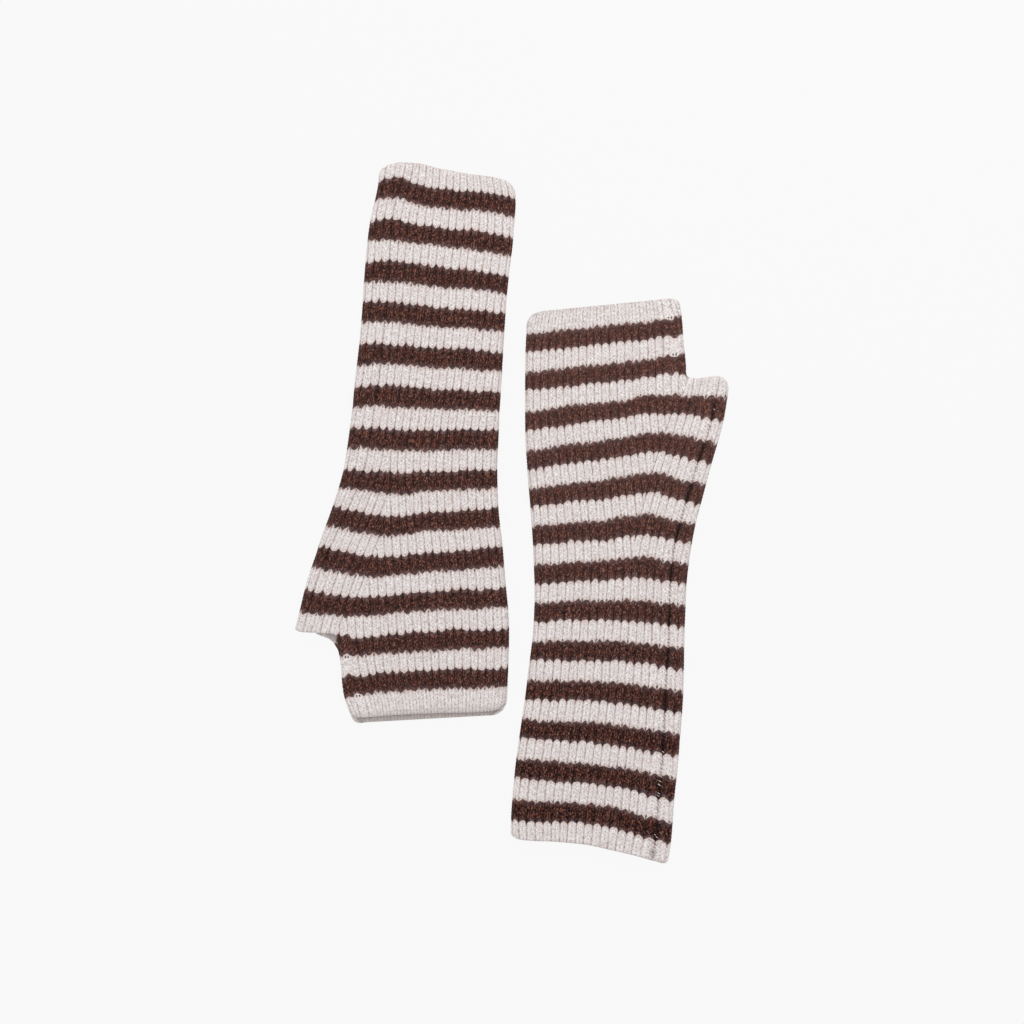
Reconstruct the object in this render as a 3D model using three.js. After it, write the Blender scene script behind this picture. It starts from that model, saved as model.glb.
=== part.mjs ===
// A pair of wrist warmers: two long fingerless tubes of ribbed knitting, each with a thumb opening,
// laid flat side by side with one of them turned end for end.
//
// Each warmer is one knitted panel, folded along the little-finger side and sewn up along the thumb
// side. Laid flat it is two layers of cloth with a shallow hollow between them, open at the wrist,
// at the finger end and at the thumb. Each layer is a solid of its own.
//
// Millimetres, +Z up. The pair rests on z = 0, with the origin at the middle of its footprint.
// In a warmer's own frame the finger end points along +Y and the thumb along +X.

import * as THREE from 'three';

// ---- Driving dimensions -------------------------------------------------------------------------

const WALL = 2.8; // thickness of the ribbed cloth
const HOLLOW = 1.4; // height of the space for the hand, laid flat
const SEAM_GAP = 0.3; // space between the two layers along the fold and the seam
const BAND_LENGTH = 10.5; // one stripe, measured along the warmer
const THUMB_BAND = 23; // the stripe edge at which the thumb opening is bound off

const ARC_STEPS = 3; // facets in a quarter turn of cloth at the sides
const PALM_STEPS = 5; // facets between the fold and the gusset line
const THUMB_STEPS = 2; // facets between the gusset line and the thumb side

const HALF_HEIGHT = WALL + HOLLOW / 2; // from the middle plane to the outside of either layer
const HALF_HOLLOW = HOLLOW / 2;
const HALF_GAP = SEAM_GAP / 2;

// ---- Sections -----------------------------------------------------------------------------------
// A row is one line of stitches across a warmer. `band` counts stripes from the wrist hem, 13 dark
// ones between 14 light ones. The line runs from the fold through the gusset line, where the thumb
// gusset starts, to the thumb side. It bends at the gusset line, over `bend` to either side.
// Past the thumb opening the gusset line is the seam itself, and nothing lies beyond it.

const SECTION_COLUMNS = ['band', 'foldX', 'foldY', 'goreX', 'goreY', 'thumbX', 'thumbY', 'bend'];

const RIGHT_SECTIONS = [
  [0, -56.2, -134.0, -6.0, -138.0, 25.0, -146.4, 28],
  [1, -56.0, -124.2, -5.0, -126.9, 26.8, -135.6, 28],
  [3, -54.4, -102.2, -4.0, -106.2, 28.0, -114.0, 28],
  [5, -51.8, -81.6, -3.0, -85.0, 30.3, -91.0, 28],
  [8, -47.6, -51.7, 0.0, -51.9, 32.6, -57.7, 26],
  [11, -44.5, -21.4, 4.0, -20.5, 33.3, -24.3, 24],
  [13, -44.0, -2.0, 6.0, 1.4, 34.1, -2.6, 20],
  [15, -44.7, 18.2, 8.0, 23.8, 37.0, 18.4, 16],
  [17, -46.0, 37.9, 13.0, 45.4, 42.0, 38.8, 12],
  [19, -47.6, 57.2, 20.0, 66.8, 47.8, 60.6, 9],
  [21, -48.7, 77.2, 26.8, 87.2, 53.3, 83.0, 8],
  [23, -48.8, 97.6, 35.0, 103.8, 57.8, 105.0, 6],
  [24, -48.7, 107.5, 34.0, 115.4],
  [26, -48.3, 126.9, 32.3, 135.0],
  [27, -47.6, 137.8, 31.0, 145.6],
];

const LEFT_SECTIONS = [
  [0, -56.4, -135.0, 0.0, -144.6, 13.2, -144.2, 10],
  [1, -56.3, -126.5, 2.0, -136.6, 13.7, -135.0, 8],
  [3, -55.8, -106.2, 4.0, -115.2, 17.9, -113.4, 10],
  [5, -53.9, -86.4, 5.0, -93.8, 20.2, -92.6, 12],
  [8, -51.4, -57.2, 6.0, -62.0, 22.4, -62.0, 14],
  [11, -49.6, -25.6, 7.0, -30.0, 26.0, -27.6, 16],
  [13, -48.6, -6.6, 8.0, -7.3, 28.3, -7.6, 16],
  [15, -47.7, 14.2, 9.0, 15.6, 31.5, 13.8, 14],
  [17, -48.4, 34.0, 10.5, 38.8, 37.3, 33.9, 12],
  [19, -50.5, 54.0, 15.5, 60.0, 44.5, 54.0, 9],
  [21, -52.3, 74.9, 22.0, 80.8, 51.6, 75.8, 8],
  [23, -53.8, 95.7, 34.6, 98.2, 56.9, 97.0, 5],
  [24, -53.7, 105.9, 33.6, 110.9],
  [26, -53.0, 126.4, 31.0, 132.8],
  [27.2, -52.4, 138.8, 26.2, 143.2],
];

// Radii of the rounded corners, in the plane of the cloth. `crotch` rounds the inner corner of the
// thumb opening, and `reach` is how far a layer's finger end runs past its last section.
const RIGHT = {
  name: 'right',
  place: [55.2, -34.4],
  turn: 0,
  sections: RIGHT_SECTIONS,
  corners: { hemFold: 4, hemThumb: 2, thumbTip: 5, tipFold: 6, tipSeam: 4.5 },
  front: { crotch: 1, reach: 0 },
  back: { crotch: 2, reach: 0 },
};

const LEFT = {
  name: 'left',
  place: [-55.6, 35.9],
  turn: Math.PI,
  sections: LEFT_SECTIONS,
  corners: { hemFold: 7, hemThumb: 6, thumbTip: 2.5, tipFold: 7, tipSeam: 2.5 },
  front: { crotch: 1, reach: 0 },
  back: { crotch: 9, reach: 1.8 },
};

// Knitted wool, in the mean of its dark brown and its pale oatmeal yarn.
const WOOL = { color: 0xa99f9d, roughness: 0.95, metalness: 0 };

// ---- Curves through the sections ------------------------------------------------------------------

// A smooth curve through (xs, ys) that never runs past its points: each inner slope is the harmonic
// mean of its two neighbours', or level where they have opposite signs.
function smoothCurve(xs, ys) {
  const rises = xs.slice(1).map((x, i) => (ys[i + 1] - ys[i]) / (x - xs[i]));
  const slopes = xs.map((_, i) => {
    const before = rises[Math.max(i - 1, 0)];
    const after = rises[Math.min(i, rises.length - 1)];
    return before * after > 0 ? (2 * before * after) / (before + after) : 0;
  });
  slopes[0] = rises[0];
  slopes[xs.length - 1] = rises[rises.length - 1];
  return (x) => {
    let i = 0;
    while (i < xs.length - 2 && x > xs[i + 1]) i += 1;
    const span = xs[i + 1] - xs[i];
    const t = (x - xs[i]) / span;
    const start = (1 + 2 * t) * (1 - t) ** 2 * ys[i] + t * (1 - t) ** 2 * span * slopes[i];
    const end = t * t * (3 - 2 * t) * ys[i + 1] - t * t * (1 - t) * span * slopes[i + 1];
    return start + end;
  };
}

// Every column of a section table as a curve over `band`. Columns that short rows leave out, which
// describe the thumb side, are followed only as far as they go.
function sectionCurves(sections) {
  const curves = {};
  SECTION_COLUMNS.forEach((column, i) => {
    const rows = sections.filter((row) => row[i] !== undefined);
    curves[column] = smoothCurve(rows.map((row) => row[0]), rows.map((row) => row[i]));
  });
  return curves;
}

// How far a corner of the given radius draws the side in, at a distance from the end.
function cornerInset(radius, distance) {
  const inside = Math.max(radius - distance, 0);
  return radius - Math.sqrt(radius * radius - inside * inside);
}

// The ramp max(0, t), rounded off within `width` of its corner.
function softRamp(t, width) {
  if (t >= width) return t;
  if (t <= -width) return 0;
  return (t + width) ** 2 / (4 * width);
}

// ---- One row of points across a layer -------------------------------------------------------------

// The quarter turn of cloth at a side: for each step from the middle plane up to the flat of the
// layer, how far outside and inside lie from the side (`out`, `in`) and above the middle plane.
function sideTurn() {
  const outerStart = Math.asin(HALF_GAP / HALF_HEIGHT);
  const innerStart = Math.asin(HALF_GAP / HALF_HOLLOW);
  const quarter = Math.PI / 2;
  return Array.from({ length: ARC_STEPS + 1 }, (_, k) => {
    const outer = outerStart + ((quarter - outerStart) * k) / ARC_STEPS;
    const inner = innerStart + ((quarter - innerStart) * k) / ARC_STEPS;
    return {
      outX: HALF_HEIGHT * (1 - Math.cos(outer)),
      outZ: HALF_HEIGHT * Math.sin(outer),
      inX: WALL + HALF_HOLLOW * (1 - Math.cos(inner)),
      inZ: HALF_HOLLOW * Math.sin(inner),
    };
  });
}

const SIDE_TURN = sideTurn();

const flat = (x) => ({ outX: x, outZ: HALF_HEIGHT, inX: x, inZ: HALF_HOLLOW });

// Points strictly between two places, evenly spaced.
function between(start, end, steps) {
  return Array.from({ length: steps - 1 }, (_, k) => flat(start + ((end - start) * (k + 1)) / steps));
}

// The turn of cloth at a side at x, running inwards (+1 from the fold, -1 from the thumb or seam).
// Where the layer only passes this line without ending at it, the turn is pressed flat.
function turnAt(x, inwards, pressed) {
  const points = SIDE_TURN.map((p) => ({
    outX: x + inwards * p.outX,
    outZ: pressed ? HALF_HEIGHT : p.outZ,
    inX: x + inwards * p.inX,
    inZ: pressed ? HALF_HOLLOW : p.inZ,
  }));
  return inwards > 0 ? points : points.reverse();
}

// One row of a layer at `band`, as pairs of outside and inside points. Rows up to the thumb opening
// run to the thumb side, and later rows end at the seam.
function layerRow(warmer, layer, curves, band, pastThumb) {
  const { corners } = warmer;
  const lastBand = warmer.sections[warmer.sections.length - 1][0];
  const fromHem = band * BAND_LENGTH;
  const fromTip = (lastBand - band) * BAND_LENGTH;
  const fromThumb = (THUMB_BAND - band) * BAND_LENGTH;
  const at = (column) => curves[column](band);

  const crotchShare = Math.max(1 - Math.abs(fromThumb) / Math.max(layer.crotch, 0.1), 0);
  const gore = { x: at('goreX') + layer.crotch * crotchShare ** 2, y: at('goreY') };
  const foldInset = cornerInset(corners.hemFold, fromHem) + cornerInset(corners.tipFold, fromTip);
  const foldX = at('foldX') + foldInset;
  const foldSlope = (gore.y - at('foldY')) / (gore.x - at('foldX'));
  const reach = layer.reach * Math.max(1 - fromTip / BAND_LENGTH, 0);

  let columns;
  let thumbSlope = foldSlope;
  if (pastThumb) {
    const seamX = gore.x - cornerInset(corners.tipSeam, fromTip);
    columns = [
      ...turnAt(foldX, 1, false),
      ...between(foldX + HALF_HEIGHT, seamX - HALF_HEIGHT, PALM_STEPS),
      ...turnAt(seamX, -1, false),
    ];
  } else {
    const thumbInset = cornerInset(corners.hemThumb, fromHem) + cornerInset(corners.thumbTip, fromThumb);
    const thumbX = at('thumbX') - thumbInset;
    thumbSlope = (at('thumbY') - gore.y) / (at('thumbX') - gore.x);
    columns = [
      ...turnAt(foldX, 1, false),
      ...between(foldX + HALF_HEIGHT, gore.x - HALF_HEIGHT, PALM_STEPS),
      ...turnAt(gore.x, -1, true),
      ...between(gore.x, thumbX - HALF_HEIGHT, THUMB_STEPS),
      ...turnAt(thumbX, -1, false),
    ];
  }

  const lineY = (x) => {
    const t = x - gore.x;
    return gore.y + foldSlope * t + (thumbSlope - foldSlope) * softRamp(t, at('bend')) + reach;
  };
  const side = layer === warmer.front ? 1 : -1;
  const point = (x, z) => new THREE.Vector3(x, lineY(x), HALF_HEIGHT + side * z);
  return columns.map((p) => ({ outside: point(p.outX, p.outZ), inside: point(p.inX, p.inZ) }));
}

// ---- A layer as a closed solid ----------------------------------------------------------------------

// Stitch lines at which a row of points is placed: close together where corners are rounded, and
// otherwise one at every second stripe edge.
function rowBands(sections) {
  const cornerSteps = [0, 0.5, 1.6, 3.6, 7].map((mm) => mm / BAND_LENGTH);
  const lastBand = sections[sections.length - 1][0];
  const arm = sections.map((row) => row[0]).filter((band) => band >= 1 && band < THUMB_BAND - 1);
  const thumbTip = cornerSteps.slice().reverse().map((step) => THUMB_BAND - step);
  const crotch = [0.15, 0.4, 0.8].map((step) => THUMB_BAND + step);
  const tip = cornerSteps.slice().reverse().map((step) => lastBand - step);
  return { toThumb: [...cornerSteps, ...arm, ...thumbTip], pastThumb: [...crotch, 25, ...tip] };
}

function layerGeometry(warmer, layer) {
  const curves = sectionCurves(warmer.sections);
  const bands = rowBands(warmer.sections);
  const rows = [
    ...bands.toThumb.map((band) => layerRow(warmer, layer, curves, band, false)),
    ...bands.pastThumb.map((band) => layerRow(warmer, layer, curves, band, true)),
  ];
  const thumbRow = bands.toThumb.length - 1;
  const seamColumn = 2 * ARC_STEPS + PALM_STEPS;
  const lastColumn = (row) => (row < thumbRow ? rows[0].length - 1 : seamColumn);

  const positions = [];
  const numbers = rows.map((row) => row.map((pair) => {
    positions.push(...pair.outside.toArray(), ...pair.inside.toArray());
    const first = positions.length / 3 - 2;
    return { outside: first, inside: first + 1 };
  }));

  const triangles = [];
  const quad = (a, b, c, d) => triangles.push([a, b, c], [a, c, d]);

  for (let r = 0; r < rows.length - 1; r += 1) {
    const [near, far] = [numbers[r], numbers[r + 1]];
    const last = lastColumn(r);
    for (let c = 0; c < last; c += 1) {
      quad(near[c].outside, near[c + 1].outside, far[c + 1].outside, far[c].outside);
      quad(near[c].inside, far[c].inside, far[c + 1].inside, near[c + 1].inside);
    }
    quad(near[0].outside, far[0].outside, far[0].inside, near[0].inside);
    quad(near[last].outside, near[last].inside, far[last].inside, far[last].outside);
  }

  // The cut edges: the wrist hem faces back, the thumb and finger ends face forwards.
  const edge = (row, from, to, forwards) => {
    for (let c = from; c < to; c += 1) {
      const [a, b] = forwards ? [row[c + 1], row[c]] : [row[c], row[c + 1]];
      quad(a.outside, a.inside, b.inside, b.outside);
    }
  };
  edge(numbers[0], 0, rows[0].length - 1, false);
  edge(numbers[thumbRow], seamColumn, rows[0].length - 1, true);
  edge(numbers[rows.length - 1], 0, seamColumn, true);

  // The back layer is the front one turned over, which also turns its triangles round.
  const order = layer === warmer.front ? [0, 1, 2] : [0, 2, 1];
  const geometry = new THREE.BufferGeometry();
  geometry.setAttribute('position', new THREE.Float32BufferAttribute(positions, 3));
  geometry.setIndex(triangles.flatMap((triangle) => order.map((i) => triangle[i])));
  geometry.computeVertexNormals();
  return geometry;
}

// ---- The pair ---------------------------------------------------------------------------------------

function makeWarmer(warmer) {
  const group = new THREE.Group();
  for (const side of ['front', 'back']) {
    const material = new THREE.MeshStandardMaterial(WOOL);
    const mesh = new THREE.Mesh(layerGeometry(warmer, warmer[side]), material);
    mesh.name = `${warmer.name}_${side}`;
    group.add(mesh);
  }
  group.position.set(warmer.place[0], warmer.place[1], 0);
  group.rotation.z = warmer.turn;
  return group;
}

const pair = new THREE.Group();
pair.add(makeWarmer(RIGHT), makeWarmer(LEFT));

export default pair;
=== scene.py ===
# %% [markdown]
# # A pair of ribbed wrist warmers in Blender
# Each warmer is one knitted panel: a long rib, folded along the little-finger side and sewn up along
# the thumb side, with a gap left for the thumb. The pair lies flat, one of them turned end for end.
# A frame of plain solids already fixes where the cloth is. This lesson gives that cloth its ribs,
# its stitches, its stripes and its wool.

# %% Load the frame
import math

import bpy
import numpy as np
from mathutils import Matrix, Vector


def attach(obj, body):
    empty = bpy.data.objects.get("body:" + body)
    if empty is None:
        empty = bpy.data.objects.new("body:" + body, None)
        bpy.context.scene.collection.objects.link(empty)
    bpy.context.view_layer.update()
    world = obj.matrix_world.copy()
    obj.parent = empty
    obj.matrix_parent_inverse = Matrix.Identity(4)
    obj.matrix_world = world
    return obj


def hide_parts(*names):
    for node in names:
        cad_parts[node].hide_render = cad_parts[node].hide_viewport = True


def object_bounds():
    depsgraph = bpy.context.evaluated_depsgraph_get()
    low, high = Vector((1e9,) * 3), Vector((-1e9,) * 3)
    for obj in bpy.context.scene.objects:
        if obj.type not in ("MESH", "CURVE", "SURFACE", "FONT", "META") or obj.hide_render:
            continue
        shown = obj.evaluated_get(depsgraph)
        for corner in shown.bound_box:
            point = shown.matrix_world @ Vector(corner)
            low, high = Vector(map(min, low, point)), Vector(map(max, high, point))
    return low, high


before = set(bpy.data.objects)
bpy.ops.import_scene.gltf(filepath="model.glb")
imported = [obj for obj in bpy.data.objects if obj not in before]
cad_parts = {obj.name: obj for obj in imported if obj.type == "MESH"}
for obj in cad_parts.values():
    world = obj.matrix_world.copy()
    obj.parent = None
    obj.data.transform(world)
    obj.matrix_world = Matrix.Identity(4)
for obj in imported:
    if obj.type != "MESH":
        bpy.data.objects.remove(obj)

cad_box = [list(corner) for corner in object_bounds()]
print("frame box in metres:", cad_box)

# %% [markdown]
# ## Camera
# A flat lay is taken from straight above, from far enough away that the near side of the cloth is
# hardly larger than the far side. An 85 mm lens does that. Its height follows from the width that
# the view takes in: the width divided by the sensor is the distance divided by the focal length.

# %% Camera
VIEW_WIDTH = 0.52736  # metres across the view, at the top of the cloth
CLOTH_TOP = cad_box[1][2]

lens = bpy.data.cameras.new("flat_lay_camera")
lens.lens = 85
lens.sensor_width = 36
lens.clip_end = 20
camera = bpy.data.objects.new("flat_lay_camera", lens)
camera.location = (0, 0, CLOTH_TOP + VIEW_WIDTH * lens.lens / lens.sensor_width)
bpy.context.scene.collection.objects.link(camera)
bpy.context.scene.camera = camera
print(f"camera {camera.location.z:.3f} m above the floor")

# %% [markdown]
# ## Floor and light
# The ground is a light table: a white sheet that glows evenly, so that hardly a shadow shows round
# the cloth. From above comes the even light of a white tent. One strong lamp would burn the pale
# wool out, so there are two weak ones. A broad distant lamp, a little to one side, gives every rib a
# bright and a less bright flank. A small lamp hung near the fingers of the right warmer makes the
# cloth there a touch brighter than the cloth far from it. A plain view transform keeps the ground
# white.

# %% Floor and light
def linear(hex_colour):
    """sRGB hex to linear RGBA: each channel c is c / 12.92 when small, else ((c + 0.055) / 1.055) ^ 2.4."""
    channels = np.array([int(hex_colour[i:i + 2], 16) for i in (1, 3, 5)]) / 255
    low, high = channels / 12.92, ((channels + 0.055) / 1.055) ** 2.4
    return (*np.where(channels <= 0.04045, low, high).tolist(), 1.0)


def flat_mesh(name, points, triangles):
    """A mesh object from an array of points in metres and an array of corner numbers."""
    mesh = bpy.data.meshes.new(name)
    mesh.from_pydata(points.tolist(), [], triangles.tolist())
    made = bpy.data.objects.new(name, mesh)
    bpy.context.scene.collection.objects.link(made)
    return made


FLOOR_HALF = 3.0  # metres
FLOOR_GLOW = 0.914
TENT_GLOW = 0.68

floor_corners = FLOOR_HALF * np.array([(-1, -1, 0), (1, -1, 0), (1, 1, 0), (-1, 1, 0)], float)
floor = flat_mesh("floor", floor_corners, np.array([(0, 1, 2, 3)]))
table = bpy.data.materials.new("glowing_white_table")
table.use_nodes = True
table_shader = table.node_tree.nodes["Principled BSDF"]
table_shader.inputs["Base Color"].default_value = linear("#333333")
table_shader.inputs["Roughness"].default_value = 1.0
table_shader.inputs["Specular IOR Level"].default_value = 0.0
table_shader.inputs["Emission Color"].default_value = (1, 1, 1, 1)
table_shader.inputs["Emission Strength"].default_value = FLOOR_GLOW
floor.data.materials.append(table)

world = bpy.data.worlds.new("white_tent")
world.use_nodes = True
world.node_tree.nodes["Background"].inputs["Color"].default_value = (1, 1, 1, 1)
world.node_tree.nodes["Background"].inputs["Strength"].default_value = TENT_GLOW
bpy.context.scene.world = world


def hang_lamp(name, kind, energy, place, turn, **settings):
    """Adds a lamp of a kind at a place in metres, turned about X, Y and Z by angles in degrees."""
    lamp = bpy.data.lights.new(name, kind)
    lamp.energy = energy
    for key, value in settings.items():
        setattr(lamp, key, value)
    hung = bpy.data.objects.new(name, lamp)
    hung.location = place
    hung.rotation_euler = [math.radians(angle) for angle in turn]
    bpy.context.scene.collection.objects.link(hung)
    return lamp


soft_lamp = hang_lamp("soft_lamp", "SUN", 0.65, (0, 0, 0), (-28, -28, 0), angle=math.radians(70))
near_lamp = hang_lamp("near_lamp", "AREA", 1.38, (0.25, 0.55, 0.55), (-45, 0, -24), shape="DISK", size=0.4)
bpy.context.scene.view_settings.view_transform = "Standard"
print("floor", FLOOR_HALF * 2, "m square, lamps of strength", soft_lamp.energy, "and", near_lamp.energy)

# %% [markdown]
# ## The form of the cloth
# A knitter thinks in courses, the rows of stitches across, and wales, the columns of stitches along.
# This cloth has 27 stripes of 6 courses. Each table row below is one course line where a stripe
# starts, in millimetres, in the warmer's own frame: finger end along +Y, thumb along +X. The line
# runs from the fold, bends at the gusset line and ends at the thumb side. Past the thumb opening
# the gusset line is the seam itself.

# %% Sections of the two warmers
MM = 0.001
WALL = 2.8  # mm of cloth
OUTER = 3.5  # mm from the middle plane to the outside of a layer
QUARTER = math.pi / 2 * OUTER  # mm round the outside where a layer turns down at its side
MIDDLE = OUTER - WALL / 2
STRIPE = 10.5  # mm, one stripe
COURSES = 6  # rows of stitches in a stripe
THUMB = 23  # the stripe edge where the thumb opening is bound off

SECTION_COLUMNS = ("band", "fold_x", "fold_y", "gore_x", "gore_y", "edge_x", "edge_y", "bend")
RIGHT_SECTIONS = [
    (0, -56.2, -134.0, -6.0, -138.0, 25.0, -146.4, 28),
    (1, -56.0, -124.2, -5.0, -126.9, 26.8, -135.6, 28),
    (3, -54.4, -102.2, -4.0, -106.2, 28.5, -114.0, 28),
    (5, -51.8, -81.6, -3.0, -85.0, 31.0, -91.0, 28),
    (8, -47.6, -51.7, 0.0, -51.9, 33.2, -57.7, 26),
    (11, -44.5, -21.4, 4.0, -20.5, 34.0, -24.3, 24),
    (13, -44.0, -2.0, 6.0, 1.4, 34.9, -2.6, 20),
    (15, -44.7, 18.2, 8.0, 23.8, 37.6, 18.4, 16),
    (17, -46.0, 37.9, 13.0, 45.4, 42.4, 38.8, 12),
    (19, -47.6, 57.2, 20.0, 66.8, 47.8, 60.6, 9),
    (21, -48.7, 77.2, 26.8, 87.2, 54.0, 83.0, 8),
    (23, -48.8, 97.6, 35.0, 102.3, 57.8, 105.8, 6),
    (24, -48.7, 107.5, 34.0, 115.4),
    (26, -48.3, 126.9, 32.3, 135.0),
    (27, -47.6, 137.8, 31.0, 145.6),
]
LEFT_SECTIONS = [
    (0, -56.8, -135.0, 0.0, -144.6, 13.2, -144.2, 10),
    (1, -57.6, -126.5, 2.0, -136.6, 13.7, -135.0, 8),
    (3, -56.6, -106.2, 4.0, -115.2, 17.9, -113.4, 10),
    (5, -54.3, -86.4, 5.0, -93.8, 20.2, -92.6, 12),
    (8, -51.8, -57.2, 6.0, -62.0, 22.4, -62.0, 14),
    (11, -50.0, -25.6, 7.0, -30.0, 26.0, -27.6, 16),
    (13, -49.0, -6.6, 8.0, -7.3, 28.3, -7.6, 16),
    (15, -48.1, 14.2, 9.0, 15.6, 31.5, 13.8, 14),
    (17, -48.8, 34.0, 10.5, 38.8, 37.3, 33.9, 12),
    (19, -50.9, 54.0, 15.5, 60.0, 44.5, 54.0, 9),
    (21, -52.7, 74.9, 22.0, 80.8, 51.6, 75.8, 8),
    (23, -54.2, 95.7, 34.6, 97.6, 56.9, 96.6, 5),
    (24, -54.1, 105.9, 33.6, 110.9),
    (26, -53.4, 126.4, 31.0, 132.8),
    (27.2, -52.8, 138.8, 26.2, 143.2),
]
print(len(RIGHT_SECTIONS), "and", len(LEFT_SECTIONS), "section lines")

# %% [markdown]
# ## Where the ribs run
# The ribs left of the gusset line run along the fold and those right of it run along the thumb side,
# so new ribs appear along the gusset line as the gusset widens. Ribs are numbered by the grooves
# between them. Lengths here are measured across the cloth, round its side. `first`, `eighth` and
# `sixteenth` are where grooves 0, 8 and 16 lie from the fold. `strip` is where groove 16 lies from
# the thumb side, with the wide ribs of the seam beyond it, each `wide`, and `thumb` is one rib of the
# gusset. `tube` is the width of the wide ribs next to the short seam, from groove 18 on.
#
# Laid down by hand, a course line also sags and rises by a millimetre or two between its ends. The
# lift tables give that at six places across.

# %% Rib tables
RIB_COLUMNS = ("band", "first", "eighth", "sixteenth", "strip", "wide", "thumb", "tube")
RIGHT_RIBS = [
    (0, 2.4, 35.3, 69.0, 16.9, 6.6, 4.2, 4.2),
    (2.5, 1.0, 36.5, 70.4, 16.2, 6.1, 4.2, 4.2),
    (4.5, 2.1, 36.8, 69.8, 16.4, 5.75, 4.2, 4.2),
    (6.5, 2.2, 36.7, 68.9, 16.4, 5.1, 4.2, 4.2),
    (8.5, 1.7, 35.7, 67.8, 16.0, 4.75, 4.15, 4.1),
    (10.5, 0.4, 34.9, 67.0, 15.0, 4.65, 4.1, 4.1),
    (12.5, 0.6, 35.4, 66.8, 15.1, 4.4, 4.1, 4.1),
    (14.5, 2.5, 36.1, 68.0, 15.5, 4.6, 4.0, 4.1),
    (16.5, 2.7, 35.6, 67.7, 14.8, 4.85, 3.9, 4.05),
    (18.5, 2.5, 35.2, 67.0, 14.1, 4.9, 3.95, 4.0),
    (20.5, 2.3, 34.6, 66.4, 13.4, 4.9, 4.0, 4.0),
    (22.5, 2.3, 33.8, 65.4, 13.4, 5.2, 4.0, 3.9),
    (24.5, 2.1, 33.6, 65.2, 13.4, 5.2, 4.0, 6.3),
    (26.5, 4.6, 33.0, 62.2, 13.4, 5.2, 4.0, 4.9),
    (27, 5.6, 32.8, 61.2, 13.4, 5.2, 4.0, 4.6),
]
LEFT_RIBS = [
    (0, 3.4, 29.9, 57.0, 16.3, 5.1, 3.5, 3.5),
    (2.5, 0.3, 32.0, 63.4, 13.8, 4.5, 3.95, 3.95),
    (4.5, -0.1, 32.2, 64.0, 14.5, 4.0, 4.0, 4.0),
    (6.5, 0.6, 32.1, 63.4, 14.9, 4.1, 3.95, 3.95),
    (8.5, 1.2, 32.6, 64.0, 14.4, 4.2, 3.9, 3.95),
    (10.5, 2.9, 34.2, 64.8, 14.8, 4.3, 3.9, 3.9),
    (12.5, 4.5, 36.0, 67.2, 13.7, 4.65, 3.9, 3.9),
    (14.5, 5.5, 37.6, 69.1, 13.0, 4.7, 4.0, 3.98),
    (16.5, 5.3, 37.6, 69.0, 10.8, 4.25, 4.05, 3.98),
    (18.5, 5.4, 37.9, 70.7, 8.7, 3.7, 4.25, 4.08),
    (20.5, 5.0, 38.1, 72.1, 7.0, 3.9, 4.5, 4.17),
    (22.5, 5.8, 39.0, 72.6, 6.5, 3.9, 4.5, 4.1),
    (24.5, 5.6, 38.0, 70.9, 6.5, 3.9, 4.5, 5.8),
    (26.5, 6.3, 36.2, 64.9, 6.5, 3.9, 4.5, 4.8),
    (27.2, 6.6, 35.6, 63.4, 6.5, 3.9, 4.5, 4.6),
]

LIFT_COLUMNS = ("band", "tenth", "quarter", "middle", "gore", "crotch", "thumb")
LIFT_AT = (0.10, 0.27, 0.44, 0.60, 0.71, 0.82)  # shares of the way across
RIGHT_LIFTS = [
    (0, 0.3, 0.8, 1.0, 0.3, 0.0, -0.4),
    (1, 0.1, 0.5, 1.3, 0.8, 0.2, -0.3),
    (2, 0.6, 0.4, 0.95, 1.1, 0.5, 0.0),
    (3.5, 0.0, 0.05, 0.7, 0.9, 0.6, 0.3),
    (5, -0.05, 0.2, 0.6, 0.3, 0.0, 0.3),
    (7, -0.2, 0.1, 0.45, 0.4, 0.1, 0.35),
    (8.5, 0.25, -0.05, 0.1, 0.35, 0.3, 0.3),
    (11, -0.2, 0.15, 0.1, 0.5, 0.35, 0.1),
    (13, -0.25, 0.0, -0.4, 0.45, 0.9, 0.4),
    (15, -0.5, -0.8, -1.8, -0.4, 1.0, 0.2),
    (16.5, -0.45, -0.5, -1.5, -0.5, 1.1, 0.4),
    (18, -0.4, -0.6, -1.0, -0.4, 0.7, -0.4),
    (19.5, -0.35, -0.5, -1.0, -0.3, -0.5, -0.9),
    (21, -0.55, -0.1, -0.5, 0.2, -0.9, -0.7),
    (22, -0.5, 0.7, 0.6, 2.3, 1.6, 0.4),
    (23, 0.0, 1.2, 2.0, 3.1, 5.2, 0.7),
    (24, -0.3, 0.05, 0.0, 0.4, 1.8, 2.0),
    (25, 0.15, 0.4, 0.35, 0.35, 1.7, 2.0),
    (26, -0.2, 0.0, 0.25, -0.05, 1.3, 1.4),
    (27, 0.0, 0.0, 0.0, 0.0, 0.0, 0.0),
]
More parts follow.
